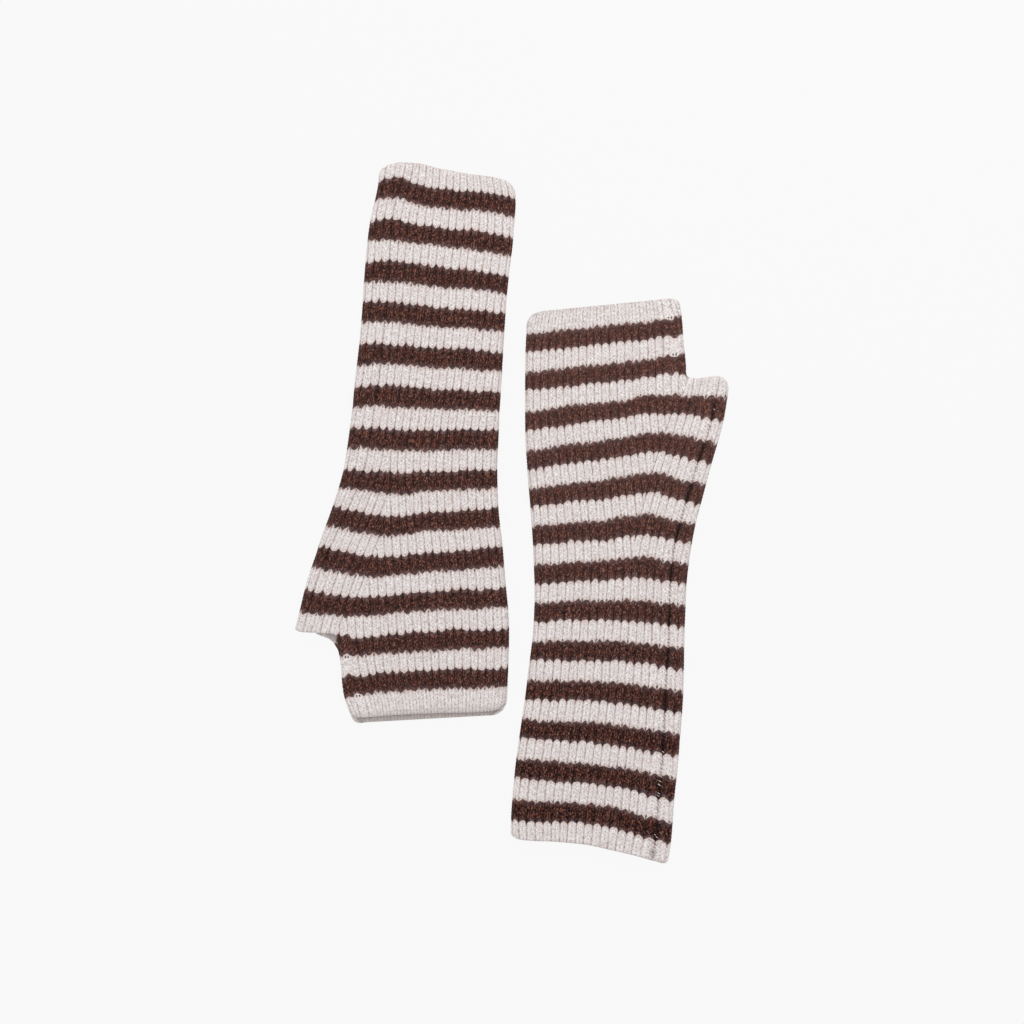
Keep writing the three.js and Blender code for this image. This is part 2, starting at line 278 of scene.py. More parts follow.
LEFT_LIFTS = [
    (0, 0.0, 0.5, 0.3, -0.5, -0.2, 0.4),
    (1, 0.55, 0.6, 1.9, 2.5, 2.2, 0.0),
    (2, 0.75, 0.55, 1.95, 2.4, 2.1, 0.1),
    (3, 0.6, 0.15, 1.15, 1.35, 0.8, -0.5),
    (4.5, 0.4, 0.05, 0.55, 0.55, 0.4, -0.1),
    (7, 0.5, 0.3, 1.15, 0.75, 0.5, 0.4),
    (9, 0.5, 0.3, 1.1, 0.95, 0.6, 0.4),
    (10.5, 0.0, 0.0, 0.9, 0.75, 0.3, -0.4),
    (12.5, 0.35, 0.3, 1.1, 0.95, 0.6, -0.1),
    (15, -0.05, -0.1, 0.1, 0.45, 0.1, 0.1),
    (16.5, -0.15, -0.5, -0.7, 0.15, -0.3, -0.5),
    (18, -0.3, -0.4, -1.15, -0.2, -0.5, -0.6),
    (19.5, -0.15, -0.4, -0.5, -0.3, -0.7, -0.4),
    (21, 0.0, -0.85, -1.25, -0.7, -0.4, 0.3),
    (22, 0.0, -0.3, 0.0, 0.9, 1.2, 1.5),
    (23, 0.4, 0.2, 1.2, 2.4, 3.5, 1.1),
    (24, 0.25, -0.35, -0.45, -0.4, 0.2, 0.4),
    (25.5, -0.3, -1.5, -2.2, -2.4, -0.9, 0.0),
    (27.2, -0.6, -1.2, -1.4, -1.1, -0.6, 0.0),
]

# `place` is where a warmer's own origin lies, and turn -1 lays it end for end. `seam` is the groove
# that is the long seam, `flat_seam` how far spare cloth fills the grooves beside it and `seam_shows`
# how deep it looks. The next key is the share of a painted pale veil of light on the dark stripes,
# and the one after it gives the stripes over which that painted light grows. The next five and
# `crotch` are radii of rounded corners in mm, and `reach` is how far a layer's finger end runs past
# its last course line.
RIGHT = dict(
    name="right", place=(55.4, -35.0), turn=1,
    sections=RIGHT_SECTIONS, ribs=RIGHT_RIBS, lifts=RIGHT_LIFTS,
    seam=17, flat_seam=0.4, seam_shows=1.0, bloom=0.08, bloom_over=(2, 22),
    hem_fold=4, hem_thumb=2, thumb_tip=8.5, tip_fold=6, tip_seam=4.5,
    front=dict(crotch=1, reach=0), back=dict(crotch=2, reach=0),
)
LEFT = dict(
    name="left", place=(-55.6, 35.9), turn=-1,
    sections=LEFT_SECTIONS, ribs=LEFT_RIBS, lifts=LEFT_LIFTS,
    seam=16, flat_seam=0.3, seam_shows=0.45, bloom=0.03, bloom_over=(-1, 0),
    hem_fold=7, hem_thumb=8, thumb_tip=2.5, tip_fold=7, tip_seam=2.5,
    front=dict(crotch=1, reach=0), back=dict(crotch=9, reach=1.8),
)
TUBE_SEAM = 19  # the groove that is the short seam, past the thumb opening
print("rib tables of", len(RIGHT_RIBS), "and", len(LEFT_RIBS), "rows")

# %% [markdown]
# ## Curves through a table
# The rows of a table are joined by a smooth curve that never runs past its points, so that no edge
# of the cloth wavers. Its slope at a row is the harmonic mean of the slopes on either side.

# %% Curves through a table
def smooth(at, values, x):
    """The cubic Hermite curve through (at, values), taken at x. Each inner slope is the harmonic mean
    2ab / (a + b) of the straight slopes a and b beside it, or 0 where they differ in sign."""
    at, values = np.asarray(at, float), np.asarray(values, float)
    rises = np.diff(values) / np.diff(at)
    before, after = np.r_[rises[0], rises], np.r_[rises, rises[-1]]
    same = before * after > 0
    slopes = np.where(same, 2 * before * after / np.where(same, before + after, 1), 0)
    slopes[0], slopes[-1] = rises[0], rises[-1]
    i = np.clip(np.searchsorted(at, x, side="right") - 1, 0, len(at) - 2)
    span = at[i + 1] - at[i]
    t = (x - at[i]) / span
    start = (1 + 2 * t) * (1 - t) ** 2 * values[i] + t * (1 - t) ** 2 * span * slopes[i]
    end = t * t * (3 - 2 * t) * values[i + 1] - t * t * (1 - t) * span * slopes[i + 1]
    return start + end


def table_curves(columns, rows, x):
    """Every column of a table as a curve over its first one, taken at x. A column that short rows
    leave out is held at its last value past its end."""
    curves = {}
    for number, column in enumerate(columns[1:], 1):
        full = [row for row in rows if len(row) > number]
        at = [row[0] for row in full]
        curves[column] = smooth(at, [row[number] for row in full], np.clip(x, at[0], at[-1]))
    return curves


def ease(start, end, x):
    """0 before start, 1 after end, and 3t^2 - 2t^3 between them."""
    t = np.clip((x - start) / (end - start), 0, 1)
    return t * t * (3 - 2 * t)


def corner(radius, distance):
    """How far a rounded corner draws a side in, at a distance from the end: r - sqrt(r^2 - (r-d)^2)."""
    inside = np.clip(radius - distance, 0, radius)
    return radius - np.sqrt(radius**2 - inside**2)


def line_y(curve, x):
    """The height of a course line at x: a slope from the fold to the gusset line, then another, with
    the bend between them rounded off within `bend` to either side."""
    from_gore = x - curve["gore_x"]
    fold_slope = (curve["gore_y"] - curve["fold_y"]) / (curve["gore_x"] - curve["fold_x"])
    past = curve["edge_x"] - curve["gore_x"]
    beside = past > 1e-6
    edge_slope = (curve["edge_y"] - curve["gore_y"]) / np.where(beside, past, 1)
    edge_slope = np.where(beside, edge_slope, fold_slope)
    bend = curve["bend"]
    rounded = np.clip(from_gore + bend, 0, None) ** 2 / (4 * bend)
    ramp = np.where(from_gore >= bend, from_gore, rounded)
    return curve["gore_y"] + fold_slope * from_gore + (edge_slope - fold_slope) * ramp


print("a stripe edge at mid palm:", smooth([0, 1, 3], [0.0, 10.0, 31.0], np.array([2.0])).round(2))

# %% [markdown]
# ## A grid that follows the stitches
# The cloth is a function of two parameters: the course line, and the distance across. If the grid
# columns lie on the grooves and crests of the ribs, a rib needs only a few of them to look round.
# Two sets of columns are made, one counted from the fold and one from the thumb side. Each column is
# stopped at the gusset line, and columns that are stopped at the same place become one point.

# %% Grid rows and columns
LIP_ROWS = (0, 0.1, 0.35, 0.75, 1.3)  # mm from an edge
ROW_GAP = 0.25  # mm, the least between an even row and one of those
FINE = (0, 0.1, 0.28, 0.5, 0.72, 0.9)  # groove, flank, leg, middle, leg, flank
COARSE = (0.5,)
FOLD_RIBS, SIDE_RIBS = (-3, 23), (8, 22)  # ribs counted from the fold and from the thumb side


def grid_rows(last, per_stripe):
    """Course lines for the grid: evenly spaced, and closer together at the hem, the thumb opening and
    the finger end, where the edge of the cloth is rounded."""
    near = np.array(LIP_ROWS) / STRIPE
    edges = np.concatenate([near, THUMB - near, THUMB + near, last - near])
    even = np.arange(0, last, 1 / per_stripe)
    apart = np.abs(even[:, None] - edges[None]).min(1) > ROW_GAP / STRIPE
    clear = apart & ~((even < near[-1]) | (even > last - near[-1]) | (np.abs(even - THUMB) < near[-1]))
    return np.unique(np.round(np.concatenate([even[clear], edges]), 6))


def grid_columns(first, last, places):
    """Rib numbers for the grid columns: the same places in every rib from first to last."""
    return (np.arange(first, last)[:, None] + np.array(places)[None]).ravel()


print(len(grid_rows(27, 18)), "rows, and", len(grid_columns(0, 21, FINE)), "columns on 21 ribs")

# %% [markdown]
# ## Where the grooves lie on a course line
# On the real cloth new ribs begin on the gusset line, and the older ones keep their width. So a
# groove's place is a distance across the cloth. It is worked out twice, from the fold and from the
# thumb side, and each set of ribs holds on its own side of the gusset line.

# %% Places of the grooves
GUSSET_STARTS, GUSSET_OPEN = 13, 15  # stripe edges between which the two sets of ribs part


def uneven(number, band):
    """How far a groove strays sideways in mm: 0.12 sin(2.4 n + 1.2 sin(0.8 b))."""
    return 0.12 * np.sin(2.4 * number[None] + 1.2 * np.sin(0.8 * band[:, None]))


def groove_from_fold(number, band, ribs):
    """Distance of groove `number` from the fold: the parabola g0 + b n + c n^2 through grooves 0, 8 and
    16, straight on past groove 16, and with ribs of the `tube` width past groove 18. No two ribs of a
    knitted cloth are quite as wide, so a slow wave over the ribs and bands moves each a little."""
    first, eighth, sixteenth = (ribs[key][:, None] for key in ("first", "eighth", "sixteenth"))
    bend = (sixteenth - 2 * eighth + first) / 128
    rib = (eighth - first) / 8 - 8 * bend
    n = np.minimum(number[None], 16)
    place = first + rib * n + bend * n * n
    past = np.clip(number[None] - 16, 0, 2) * (rib + 32 * bend)
    return place + past + np.clip(number[None] - 18, 0, None) * ribs["tube"][:, None] + uneven(number, band)


def groove_from_edge(number, band, ribs, side):
    """Distance from the fold of groove `number` when ribs are counted from the thumb side: groove k
    lies strip + (16 - k) thumb in from that side, or strip - (k - 16) wide where k is more than 16.
    Below the gusset's start both sets of ribs are one and the same."""
    start = ease(GUSSET_STARTS, GUSSET_OPEN, band)[:, None]
    strip_at = (side - ribs["strip"])[:, None]
    gusset = strip_at - (16 - number[None]) * ribs["thumb"][:, None] + uneven(number, band)
    narrow = groove_from_fold(number, band, ribs) * (1 - start) + gusset * start
    wide = strip_at + (number[None] - 16) * ribs["wide"][:, None] + uneven(number, band)
    return np.where(number[None] > 16, wide, narrow)


def held_numbers(place, numbers, low, high):
    """The rib number of each column, held at its values at the distances low and high, which are read
    back from where the grooves lie. Also returns those two values, one to a row."""
    low, high = (
        np.array([np.interp(d, row, numbers) for d, row in zip(distance, place)])[:, None]
        for distance in (low, high))
    return np.clip(numbers[None], low, high), low, high


middle_rib = {key: np.array([value]) for key, value in zip(RIB_COLUMNS[1:], RIGHT_RIBS[6][1:])}
print("groove 8 lies", groove_from_fold(np.array([8]), np.array([12.5]), middle_rib)[0, 0].round(1), "mm in")

# %% [markdown]
# ## The course lines in millimetres
# A layer turns down a quarter circle at its fold and at its thumb side, so it is wider than it looks
# from above. Corners are rounded by drawing the side in near the ends.

# %% Course lines
def course_lines(warmer, per_stripe):
    """The course lines of a warmer in mm. `left` is where the cloth starts at the fold. `gore` and
    `side` are the gusset line and the thumb side as distances across, longer than they look by a
    quarter circle less its radius for each turn. An inset is what a rounded corner takes off."""
    last = warmer["sections"][-1][0]
    band = grid_rows(last, per_stripe)
    thumb_row = int(np.argmin(np.abs(band - THUMB)))
    arm = np.arange(len(band)) <= thumb_row
    curve = table_curves(SECTION_COLUMNS, warmer["sections"], band)
    curve["edge_x"] = np.where(arm, curve["edge_x"], curve["gore_x"])
    curve["edge_y"] = np.where(arm, curve["edge_y"], curve["gore_y"])

    from_hem = band * STRIPE
    from_thumb = np.abs(THUMB - band) * STRIPE
    from_tip = (last - band) * STRIPE
    fold_inset = corner(warmer["hem_fold"], from_hem) + corner(warmer["tip_fold"], from_tip)
    thumb_inset = corner(warmer["hem_thumb"], from_hem) + corner(warmer["thumb_tip"], from_thumb)
    side_inset = np.where(arm, thumb_inset, corner(warmer["tip_seam"], from_tip))
    left = curve["fold_x"] + fold_inset
    gore = curve["gore_x"] - left - OUTER + QUARTER
    side = curve["edge_x"] - curve["fold_x"] + 2 * (QUARTER - OUTER)
    side = np.where(arm, side, side[thumb_row])
    return dict(
        warmer=warmer, last=last, band=band, thumb_row=thumb_row, arm=arm, curve=curve, from_thumb=from_thumb,
        fold_inset=fold_inset, side_inset=side_inset, left=left, gore=gore, side=side,
    )


hem = course_lines(RIGHT, 1)
print("a layer of the hem is", hem["side"][0].round(1), "mm wide laid out")

# %% [markdown]
# ## The columns laid out on the course lines
# The columns from the fold and the columns from the thumb side are laid side by side, stopped at the
# gusset line. Past the thumb opening the cloth ends near that line. A knitter closes it there with
# the short seam, and its inner corner is a little round.

# %% Columns
def open_side(grid, layer, from_edge):
    """Where a layer ends on the thumb side. `right` is its outline and `width` the distance to it
    across the cloth. `turn` is 1 where the side turns down a full quarter circle. Past the thumb
    opening, whose rounded inner corner starts on the nearest column, it grows to 1 again from 0."""
    arm, thumb_row, from_thumb, curve, gore = (
        grid[key] for key in ("arm", "thumb_row", "from_thumb", "curve", "gore"))
    crotch = layer["crotch"]
    corner_column = int(np.argmin(np.abs(from_edge[thumb_row] - gore[thumb_row] - crotch)))
    corner_width = from_edge[thumb_row, corner_column] - gore[thumb_row]
    fillet = corner_width * np.clip(1 - from_thumb / crotch, 0, 1) ** 2
    right = np.where(arm, curve["edge_x"], curve["gore_x"] + fillet) - grid["side_inset"]
    turn = np.where(arm, 1, ease(0, 1.6 + 0.3 * crotch, from_thumb))
    turned = OUTER + turn * (QUARTER - OUTER)
    width = right - grid["left"] - 2 * OUTER + QUARTER + turned
    return dict(corner_column=corner_column, right=right, turn=turn, turned=turned, width=width)


def lay_grid(warmer, layer, per_stripe, places):
    """Lays the columns of one layer out on its course lines. `across` is the distance across the cloth
    from the fold, measured round its side, of every grid point."""
    grid = course_lines(warmer, per_stripe)
    band, arm, thumb_row, gore, side = (
        grid[key] for key in ("band", "arm", "thumb_row", "gore", "side"))
    ribs = table_curves(RIB_COLUMNS, warmer["ribs"], band)
    start = ease(GUSSET_STARTS, GUSSET_OPEN, band)
    ribs["sixteenth"] = ribs["sixteenth"] * start + (side - ribs["strip"]) * (1 - start)
    near, far = grid_columns(*FOLD_RIBS, places), grid_columns(*SIDE_RIBS, places)
    from_fold = groove_from_fold(near, band, ribs) - grid["fold_inset"][:, None]
    from_edge = groove_from_edge(far, band, ribs, side) - grid["fold_inset"][:, None]
    grid.update(layer=layer, **open_side(grid, layer, from_edge))
    width, turn = grid["width"], grid["turn"]

    # columns from the fold, then columns from the thumb side, each stopped at the gusset line
    stop = np.where(arm, gore, np.minimum(width, gore + turn * (QUARTER - OUTER)))
    across = np.concatenate([
        np.clip(from_fold, 0, stop[:, None]),
        stop[:, None],
        np.clip(from_edge, stop[:, None], width[:, None]),
    ], axis=1)
    grid["corner_column"] += len(near) + 1
    across[thumb_row + 1:, grid["corner_column"]:] = width[thumb_row + 1:, None]
    across[:, -1] = width

    # rib numbers stop where their columns stop
    fold_ribs, _, high = held_numbers(from_fold, near, np.zeros_like(stop), stop)
    fold_number = np.concatenate([fold_ribs, np.repeat(high, len(far) + 1, axis=1)], axis=1)
    side_ribs, low, high = held_numbers(from_edge, far, stop, width)
    side_number = np.concatenate([np.repeat(low, len(near) + 1, axis=1), side_ribs], axis=1)
    side_number[:, -1] = high[:, 0]
    beyond = np.arange(across.shape[1])[None] > len(near)
    grid.update(across=across, fold_number=fold_number, side_number=side_number, beyond=beyond)
    return grid


ROWS = dict(front=18, back=12)  # to a stripe
INSIDE_ROWS = 3
trial = lay_grid(RIGHT, RIGHT["front"], ROWS["front"], FINE)
print("grid", trial["across"].shape, "widest", trial["width"].max().round(1), "mm across")

# %% [markdown]
# ## Ribs and stitches in relief
# A rib stands proud because its knit stitches bulge and the purl stitches between them sink into a
# narrow groove. Every knit stitch is a V of two legs, and its point is towards the wrist. So the
# course line dips by about one course from the middle of a rib to its groove, and the legs show as
# ripples along that slanting line. A bump map could draw the ribs, but it would leave the outline
# smooth, so they are real relief.

# %% Relief
SLANT = 1.05  # courses by which a stitch's outer end lies behind its middle
RIB_DEPTH = 0.72  # mm from crest to groove
DIP = 0.06  # mm, along the middle of a rib
RIPPLE = 0.24  # mm, between one stitch and the next


def rib_place(number):
    """0 in the middle of a rib and 1 in the grooves beside it: |2 frac(number) - 1|."""
    return np.abs(2 * (number - np.floor(number)) - 1)


def relief(number, band, filled, deep, last):
    """Depth in mm below the crest. The rib is 1 - (1 - w^2.6)^0.65 of its full depth at the place w
    across, with a shallow dip along its middle, and ripples once a course along the slanting legs. It
    is shallower where spare cloth fills it, along the deep seam and in the last course or two."""
    w = rib_place(number)
    depth = RIB_DEPTH * (1 - 0.75 * filled) * (1 - 0.3 * deep)
    depth = depth * (1 - 0.35 * ease(last - 1.15, last - 0.5, band)[:, None])
    ribbed = depth * (1 - (1 - np.clip(w, 0, 0.999) ** 2.6) ** 0.65)
    dip = DIP * np.exp(-((w / 0.17) ** 2))
    beat = 0.5 + 0.5 * np.cos(2 * math.pi * (COURSES * band[:, None] + SLANT * w))
    return ribbed + dip + RIPPLE * beat**2 * (1 - w**4)


print("a groove is", relief(np.array([[0.0]]), np.array([5.0]), 0, 0, 27)[0, 0].round(2), "mm deep")

# %% [markdown]
# ## How the cloth turns, rises and ends
# A knitted edge isn't cut square: the wall thins to a round lip at the hem, at the finger end and
# round the thumb opening. Where the thumb opening starts, the side's turn has to open out flat.

# %% Turns, lift and lips
LIP = 1.4  # mm over which the wall fills out from an edge
THIN = 0.2  # of the wall, right at the edge


def fold_over(grid, across):
    """The line across a layer as an axis point x and an outward direction (nx, nz). It turns a quarter
    circle at either side and is flat between; where the thumb opening starts the turn is pressed flat."""
    left, right, width, turn, turned = (
        grid[key][:, None] for key in ("left", "right", "width", "turn", "turned"))
    angle = np.clip(across / OUTER, 0, math.pi / 2)
    x = left + OUTER + np.clip(across - QUARTER, 0, None)
    nx, nz = -np.cos(angle), np.sin(angle)
    share = (width - across) / turned
    far_turn = share < 1
    angle = np.clip(share, 0, 1) * math.pi / 2
    x = np.where(far_turn, right - OUTER + (1 - turn) * OUTER * (1 - share), x)
    nx = np.where(far_turn, turn * np.cos(angle), nx)
    nz = np.where(far_turn, turn * np.sin(angle) + 1 - turn, nz)
    return x, nx, nz


def lift(grid):
    """How far a course line rises above its plain line, in mm: eased from each of six places across
    to the next."""
    at = grid["across"] / grid["side"][:, None]
    rises = table_curves(LIFT_COLUMNS, grid["warmer"]["lifts"], grid["band"])
    levels = [rises[key][:, None] for key in LIFT_COLUMNS[1:]]
    total = levels[0] * np.ones_like(at)
    for start, end, low, high in zip(LIFT_AT, LIFT_AT[1:], levels, levels[1:]):
        total = total + (high - low) * ease(start, end, at)
    return total


def roundness(grid):
    """How full the wall is, from 0.2 at an edge to 1 past its lip: 0.2 + 0.8 sqrt(1 - (1 - d)^2), where
    d is the distance from the nearest edge in lips."""
    band, across, row = grid["band"][:, None], grid["across"], grid["thumb_row"]
    corner_at = across[row, grid["corner_column"]]
    up = np.clip((THUMB - band) * STRIPE, 0, None)
    to_thumb = np.where(across >= corner_at, up, np.hypot(up, corner_at - across))
    beside = grid["width"][:, None] - across + LIP * grid["turn"][:, None]
    to_thumb = np.where(grid["arm"][:, None], to_thumb, beside)
    nearest = np.minimum(np.minimum(band * STRIPE, (grid["last"] - band) * STRIPE), to_thumb)
    short = 1 - np.clip(nearest / LIP, 0, 1)
    return THIN + (1 - THIN) * np.sqrt(1 - short**2)


print("course lines rise by up to", lift(trial).max().round(1), "mm, and lips start", THIN * WALL, "mm thick")

# %% [markdown]
# ## The seams
# A seam takes a strip of cloth from both edges to the inside. The long seam pulls its groove in, and
# the spare cloth lifts the grooves on either side of it. The short seam past the thumb is so full
# that it has no groove. Both are written as nearness to a groove's number, so they follow the ribs.

# %% Seams
def filled_grooves(grid):
    """1 on a groove that the seam's spare cloth fills from below, falling to 0 within half a rib: the
    grooves beside a flat seam, and the short seam itself."""
    band, seam = grid["band"][:, None], grid["warmer"]["seam"]
    beside = np.exp(-(((np.abs(grid["side_number"] - seam) - 1) / 0.22) ** 2)) * grid["warmer"]["flat_seam"]
    short = np.exp(-(((grid["fold_number"] - TUBE_SEAM) / 0.4) ** 2))
    return np.where(grid["beyond"] & (band <= THUMB), beside, np.where(band > THUMB - 0.2, short, 0))


def seam_nearness(grid):
    """1 on the long seam's groove, falling to 0 within a quarter of a rib."""
    along = np.exp(-(((grid["side_number"] - grid["warmer"]["seam"]) / 0.2) ** 2))
    near = ease(THUMB, THUMB - 2.5, grid["band"])[:, None] * grid["warmer"]["seam_shows"]
    return np.where(grid["beyond"] & (grid["band"][:, None] <= THUMB), along * near, 0)


print(np.count_nonzero(seam_nearness(trial) > 0.5), "grid points lie on the long seam")

# %% [markdown]
# ## From the grid to points
# Every point starts on the middle of the wall and moves out or in by half its thickness. Relief is
# taken off the outside. The inside is given only shallow ribs, because hardly any of it shows.

# %% Points of a layer
def layer_points(grid, upper, outside):
    """The points of one side of a layer, in metres in the shared frame. Each is its axis point plus its
    outward direction times its height, and the upper layer's are raised by a slow wave of 0.2 mm."""
    x, nx, nz = fold_over(grid, grid["across"])
    number = np.where(grid["beyond"], grid["side_number"], grid["fold_number"])
    wall = WALL / 2 * roundness(grid)
    band = grid["band"]
    if outside:
        below = relief(number, band, filled_grooves(grid), seam_nearness(grid), grid["last"])
        full = np.clip((wall - THIN * WALL / 2) / ((1 - THIN) * WALL / 2), 0, 1)
        height = MIDDLE + wall - below * (0.25 + 0.75 * full)
    else:
        height = MIDDLE - wall + 0.12 * np.cos(2 * math.pi * number) * np.ones_like(wall)
    flat_x = x + nx * OUTER
    curve = {key: value[:, None] for key, value in grid["curve"].items()}
    # the lower layer lies straight on the floor at the finger end, so its lift dies out there
    end = np.clip(1 - (grid["last"] - band), 0, 1)[:, None]
    y = line_y(curve, flat_x) + grid["layer"]["reach"] * end + lift(grid) * (1 if upper else 1 - end)
    x = x + nx * height
    z = nz * height
    if upper:  # cloth that lies on cloth is never quite level
        z = z + 0.22 * nz * (np.sin(x / 9.0 + y / 31.0) + np.sin(y / 13.0 - x / 37.0 + 1.0) - 0.6)
    warmer = grid["warmer"]
    turn, (px, py) = warmer["turn"], warmer["place"]
    points = np.stack([px + turn * x, py + turn * y, OUTER + (z if upper else -z)], axis=-1)
    return points.reshape(-1, 3) * MM


sample = layer_points(trial, True, True)
print("top of the cloth at", (sample[:, 2].max() * 1000).round(2), "mm")

# %% [markdown]
# ## From points to triangles
# Every square of the grid makes two triangles. Columns that were stopped at the same place are one
# point, so the squares between them have no width and are left out, and so are the ones that would
# close the thumb opening.

# %% Triangles
def grid_numbers(grid):
    """A number for each grid point, where columns stopped at the same place share the first one's."""
    across = grid["across"]
    moved = np.ones(across.shape, bool)
    moved[:, 1:] = np.diff(across, axis=1) > 1e-7
    column = np.maximum.accumulate(np.where(moved, np.arange(across.shape[1])[None], 0), axis=1)
    return np.arange(across.shape[0])[:, None] * across.shape[1] + column


def grid_triangles(grid, numbers):
    """Two triangles for each grid square, without those that have no width and those past the thumb
    opening. Also returns which belong to the thumb side's ribs."""
    a, b, c, d = numbers[:-1, :-1], numbers[:-1, 1:], numbers[1:, 1:], numbers[1:, :-1]
    triangles = np.stack([np.stack([a, b, c], -1), np.stack([a, c, d], -1)], axis=2)
    rows, columns = np.arange(a.shape[0])[:, None], np.arange(a.shape[1])[None]
    open_end = (rows >= grid["thumb_row"]) & (columns >= grid["corner_column"])
    beyond = np.broadcast_to(grid["beyond"][:, 1:, None], triangles.shape[:3])
    keep = np.broadcast_to(~open_end[..., None], triangles.shape[:3])
    kept, side = triangles[keep], beyond[keep]
    wide = (kept != np.roll(kept, -1, axis=1)).all(1)
    return kept[wide], side[wide]


trial_numbers = grid_numbers(trial)
print("outside of a front:", len(grid_triangles(trial, trial_numbers)[0]), "triangles")

# %% [markdown]
# ## Closing the shell
# A layer has an outside, an inside and a narrow edge between them. The inside needs far fewer
# points, so the edge joins a fine row of points to a coarse one. Each short piece of either row makes
# a triangle with the nearest point of the other row.

# %% The edge and the shell
def grid_border(grid, numbers):
    """The border of a layer, anticlockwise from above, as six runs of (numbers, places along, outward
    direction on the flat pattern)."""
    row, column = grid["thumb_row"], grid["corner_column"]
    across, band = grid["across"], grid["band"]
    share = across / grid["width"][:, None]
    runs = [
        (numbers[0], share[0], (0, -1)),
        (numbers[: row + 1, -1], band[: row + 1], (1, 0)),
        (numbers[row, column:][::-1], -across[row, column:][::-1], (0, 1)),
        (numbers[row:, column], band[row:], (1, 0)),
        (numbers[-1, : column + 1][::-1], -share[-1, : column + 1][::-1], (0, 1)),
        (numbers[:, 0][::-1], -band[::-1], (-1, 0)),
    ]
    measured = []
    for run, along, way in runs:
        first = np.r_[True, np.diff(run) != 0]
        along = along[first]
        measured.append((run[first], (along - along[0]) / (along[-1] - along[0]), way))
    return measured


def join_rows(fine, fine_at, coarse, coarse_at):
    """Triangles between two rows of points that start and end together. A piece of one row goes with
    the point of the other that its middle is nearest to along the run."""
    fine_middle = (fine_at[:-1] + fine_at[1:]) / 2
    coarse_middle = (coarse_at[:-1] + coarse_at[1:]) / 2 + 1e-9
    with_fine = coarse[np.searchsorted(coarse_middle, fine_middle)]
    with_coarse = fine[np.searchsorted(fine_middle, coarse_middle)]
    return np.concatenate([
        np.stack([fine[:-1], with_fine, fine[1:]], -1),
        np.stack([coarse[:-1], coarse[1:], with_coarse], -1),
    ])


OUTSIDE, INSIDE, EDGE = 0, 1, 2  # kinds of triangle


def shell_triangles(outer, inner):
    """A layer as a closed shell: the outside's triangles, the inside's turned round, and the edge's.
    Also returns the kind of each, whether its ribs are counted from the thumb side, and which way it
    faces on the flat pattern if it is on the edge."""
    outer_numbers, inner_numbers = grid_numbers(outer), grid_numbers(inner)
    outside, outside_side = grid_triangles(outer, outer_numbers)
    inside, inside_side = grid_triangles(inner, inner_numbers)
    edges, ways = [], []
    borders = zip(grid_border(outer, outer_numbers), grid_border(inner, inner_numbers))
    for (fine, fine_at, way), (coarse, coarse_at, _) in borders:
        run = join_rows(fine, fine_at, coarse + outer_numbers.size, coarse_at)
        edges.append(run)
        ways.append(np.broadcast_to(np.array(way, float), (len(run), 2)))
    edge = np.concatenate(edges)
    kind = np.repeat([OUTSIDE, INSIDE, EDGE], [len(outside), len(inside), len(edge)])
    from_side = np.concatenate([outside_side, inside_side, np.zeros(len(edge), bool)])
    facing = np.concatenate([np.zeros((len(outside) + len(inside), 2)), *ways])
    return np.concatenate([outside, inside[:, ::-1] + outer_numbers.size, edge]), kind, from_side, facing


print("the hem edge has", len(grid_border(trial, trial_numbers)[0][0]), "points on the outside")

# %% [markdown]
# ## Flat patterns for colour
# Two maps go with the mesh. `Knit` counts ribs across and courses along, so stripes and stitches
# can be drawn on it whatever the cloth's shape. `OFBake` lays the same cloth out flat without
# overlaps, the outside in two halves side by side and the inside above them at half size. It is
# for baking the colours.

# %% Flat patterns
PATTERN_SIDE = 246.0  # mm of cloth across the baked pattern
PATTERN_MARGIN, INSIDE_MARGIN = 5, 4  # mm
HALF_WAY = 13.5  # the stripe at which the outside is cut in two
HAND_HALF_AT, INSIDE_AT = 122, 158  # mm, where the hand half and the inside start on the pattern
EDGE_MARGIN = 1.6  # mm by which the edge strip sticks out of the pattern's outline


def spread(values, grids):
    """One number for every point of several grids, from a function of a grid that gives one for each
    row, each column or each point."""
    return np.concatenate([np.broadcast_to(values(grid), grid["across"].shape).ravel() for grid in grids])


def bands(grid):
    """The stripe number of each row."""
    return grid["band"][:, None]


def knit_map(grids, triangles, kind, from_side):
    """Rib number and course number at every triangle corner. On the edge strip a corner keeps the rib
    number of the set that it lies in. The thumb opening is bound off in pale yarn, so its courses
    stop short of the next stripe, which only shows on the web of a rounded inner corner."""
    corners, of_face = triangles.ravel(), np.repeat(np.arange(len(triangles)), 3)
    band = spread(bands, grids)[corners]
    beyond = spread(lambda grid: grid["beyond"], grids)[corners]
    from_side = np.where(kind[of_face] == EDGE, beyond, from_side[of_face])
    fold_number = spread(lambda grid: grid["fold_number"], grids)[corners]
    side_number = spread(lambda grid: grid["side_number"], grids)[corners]
    bound_off = from_side & (band < THUMB + 0.5)
    band = np.where(bound_off, np.minimum(band, THUMB - 0.3), band)
    return np.stack([np.where(from_side, side_number, fold_number), band * COURSES], -1)


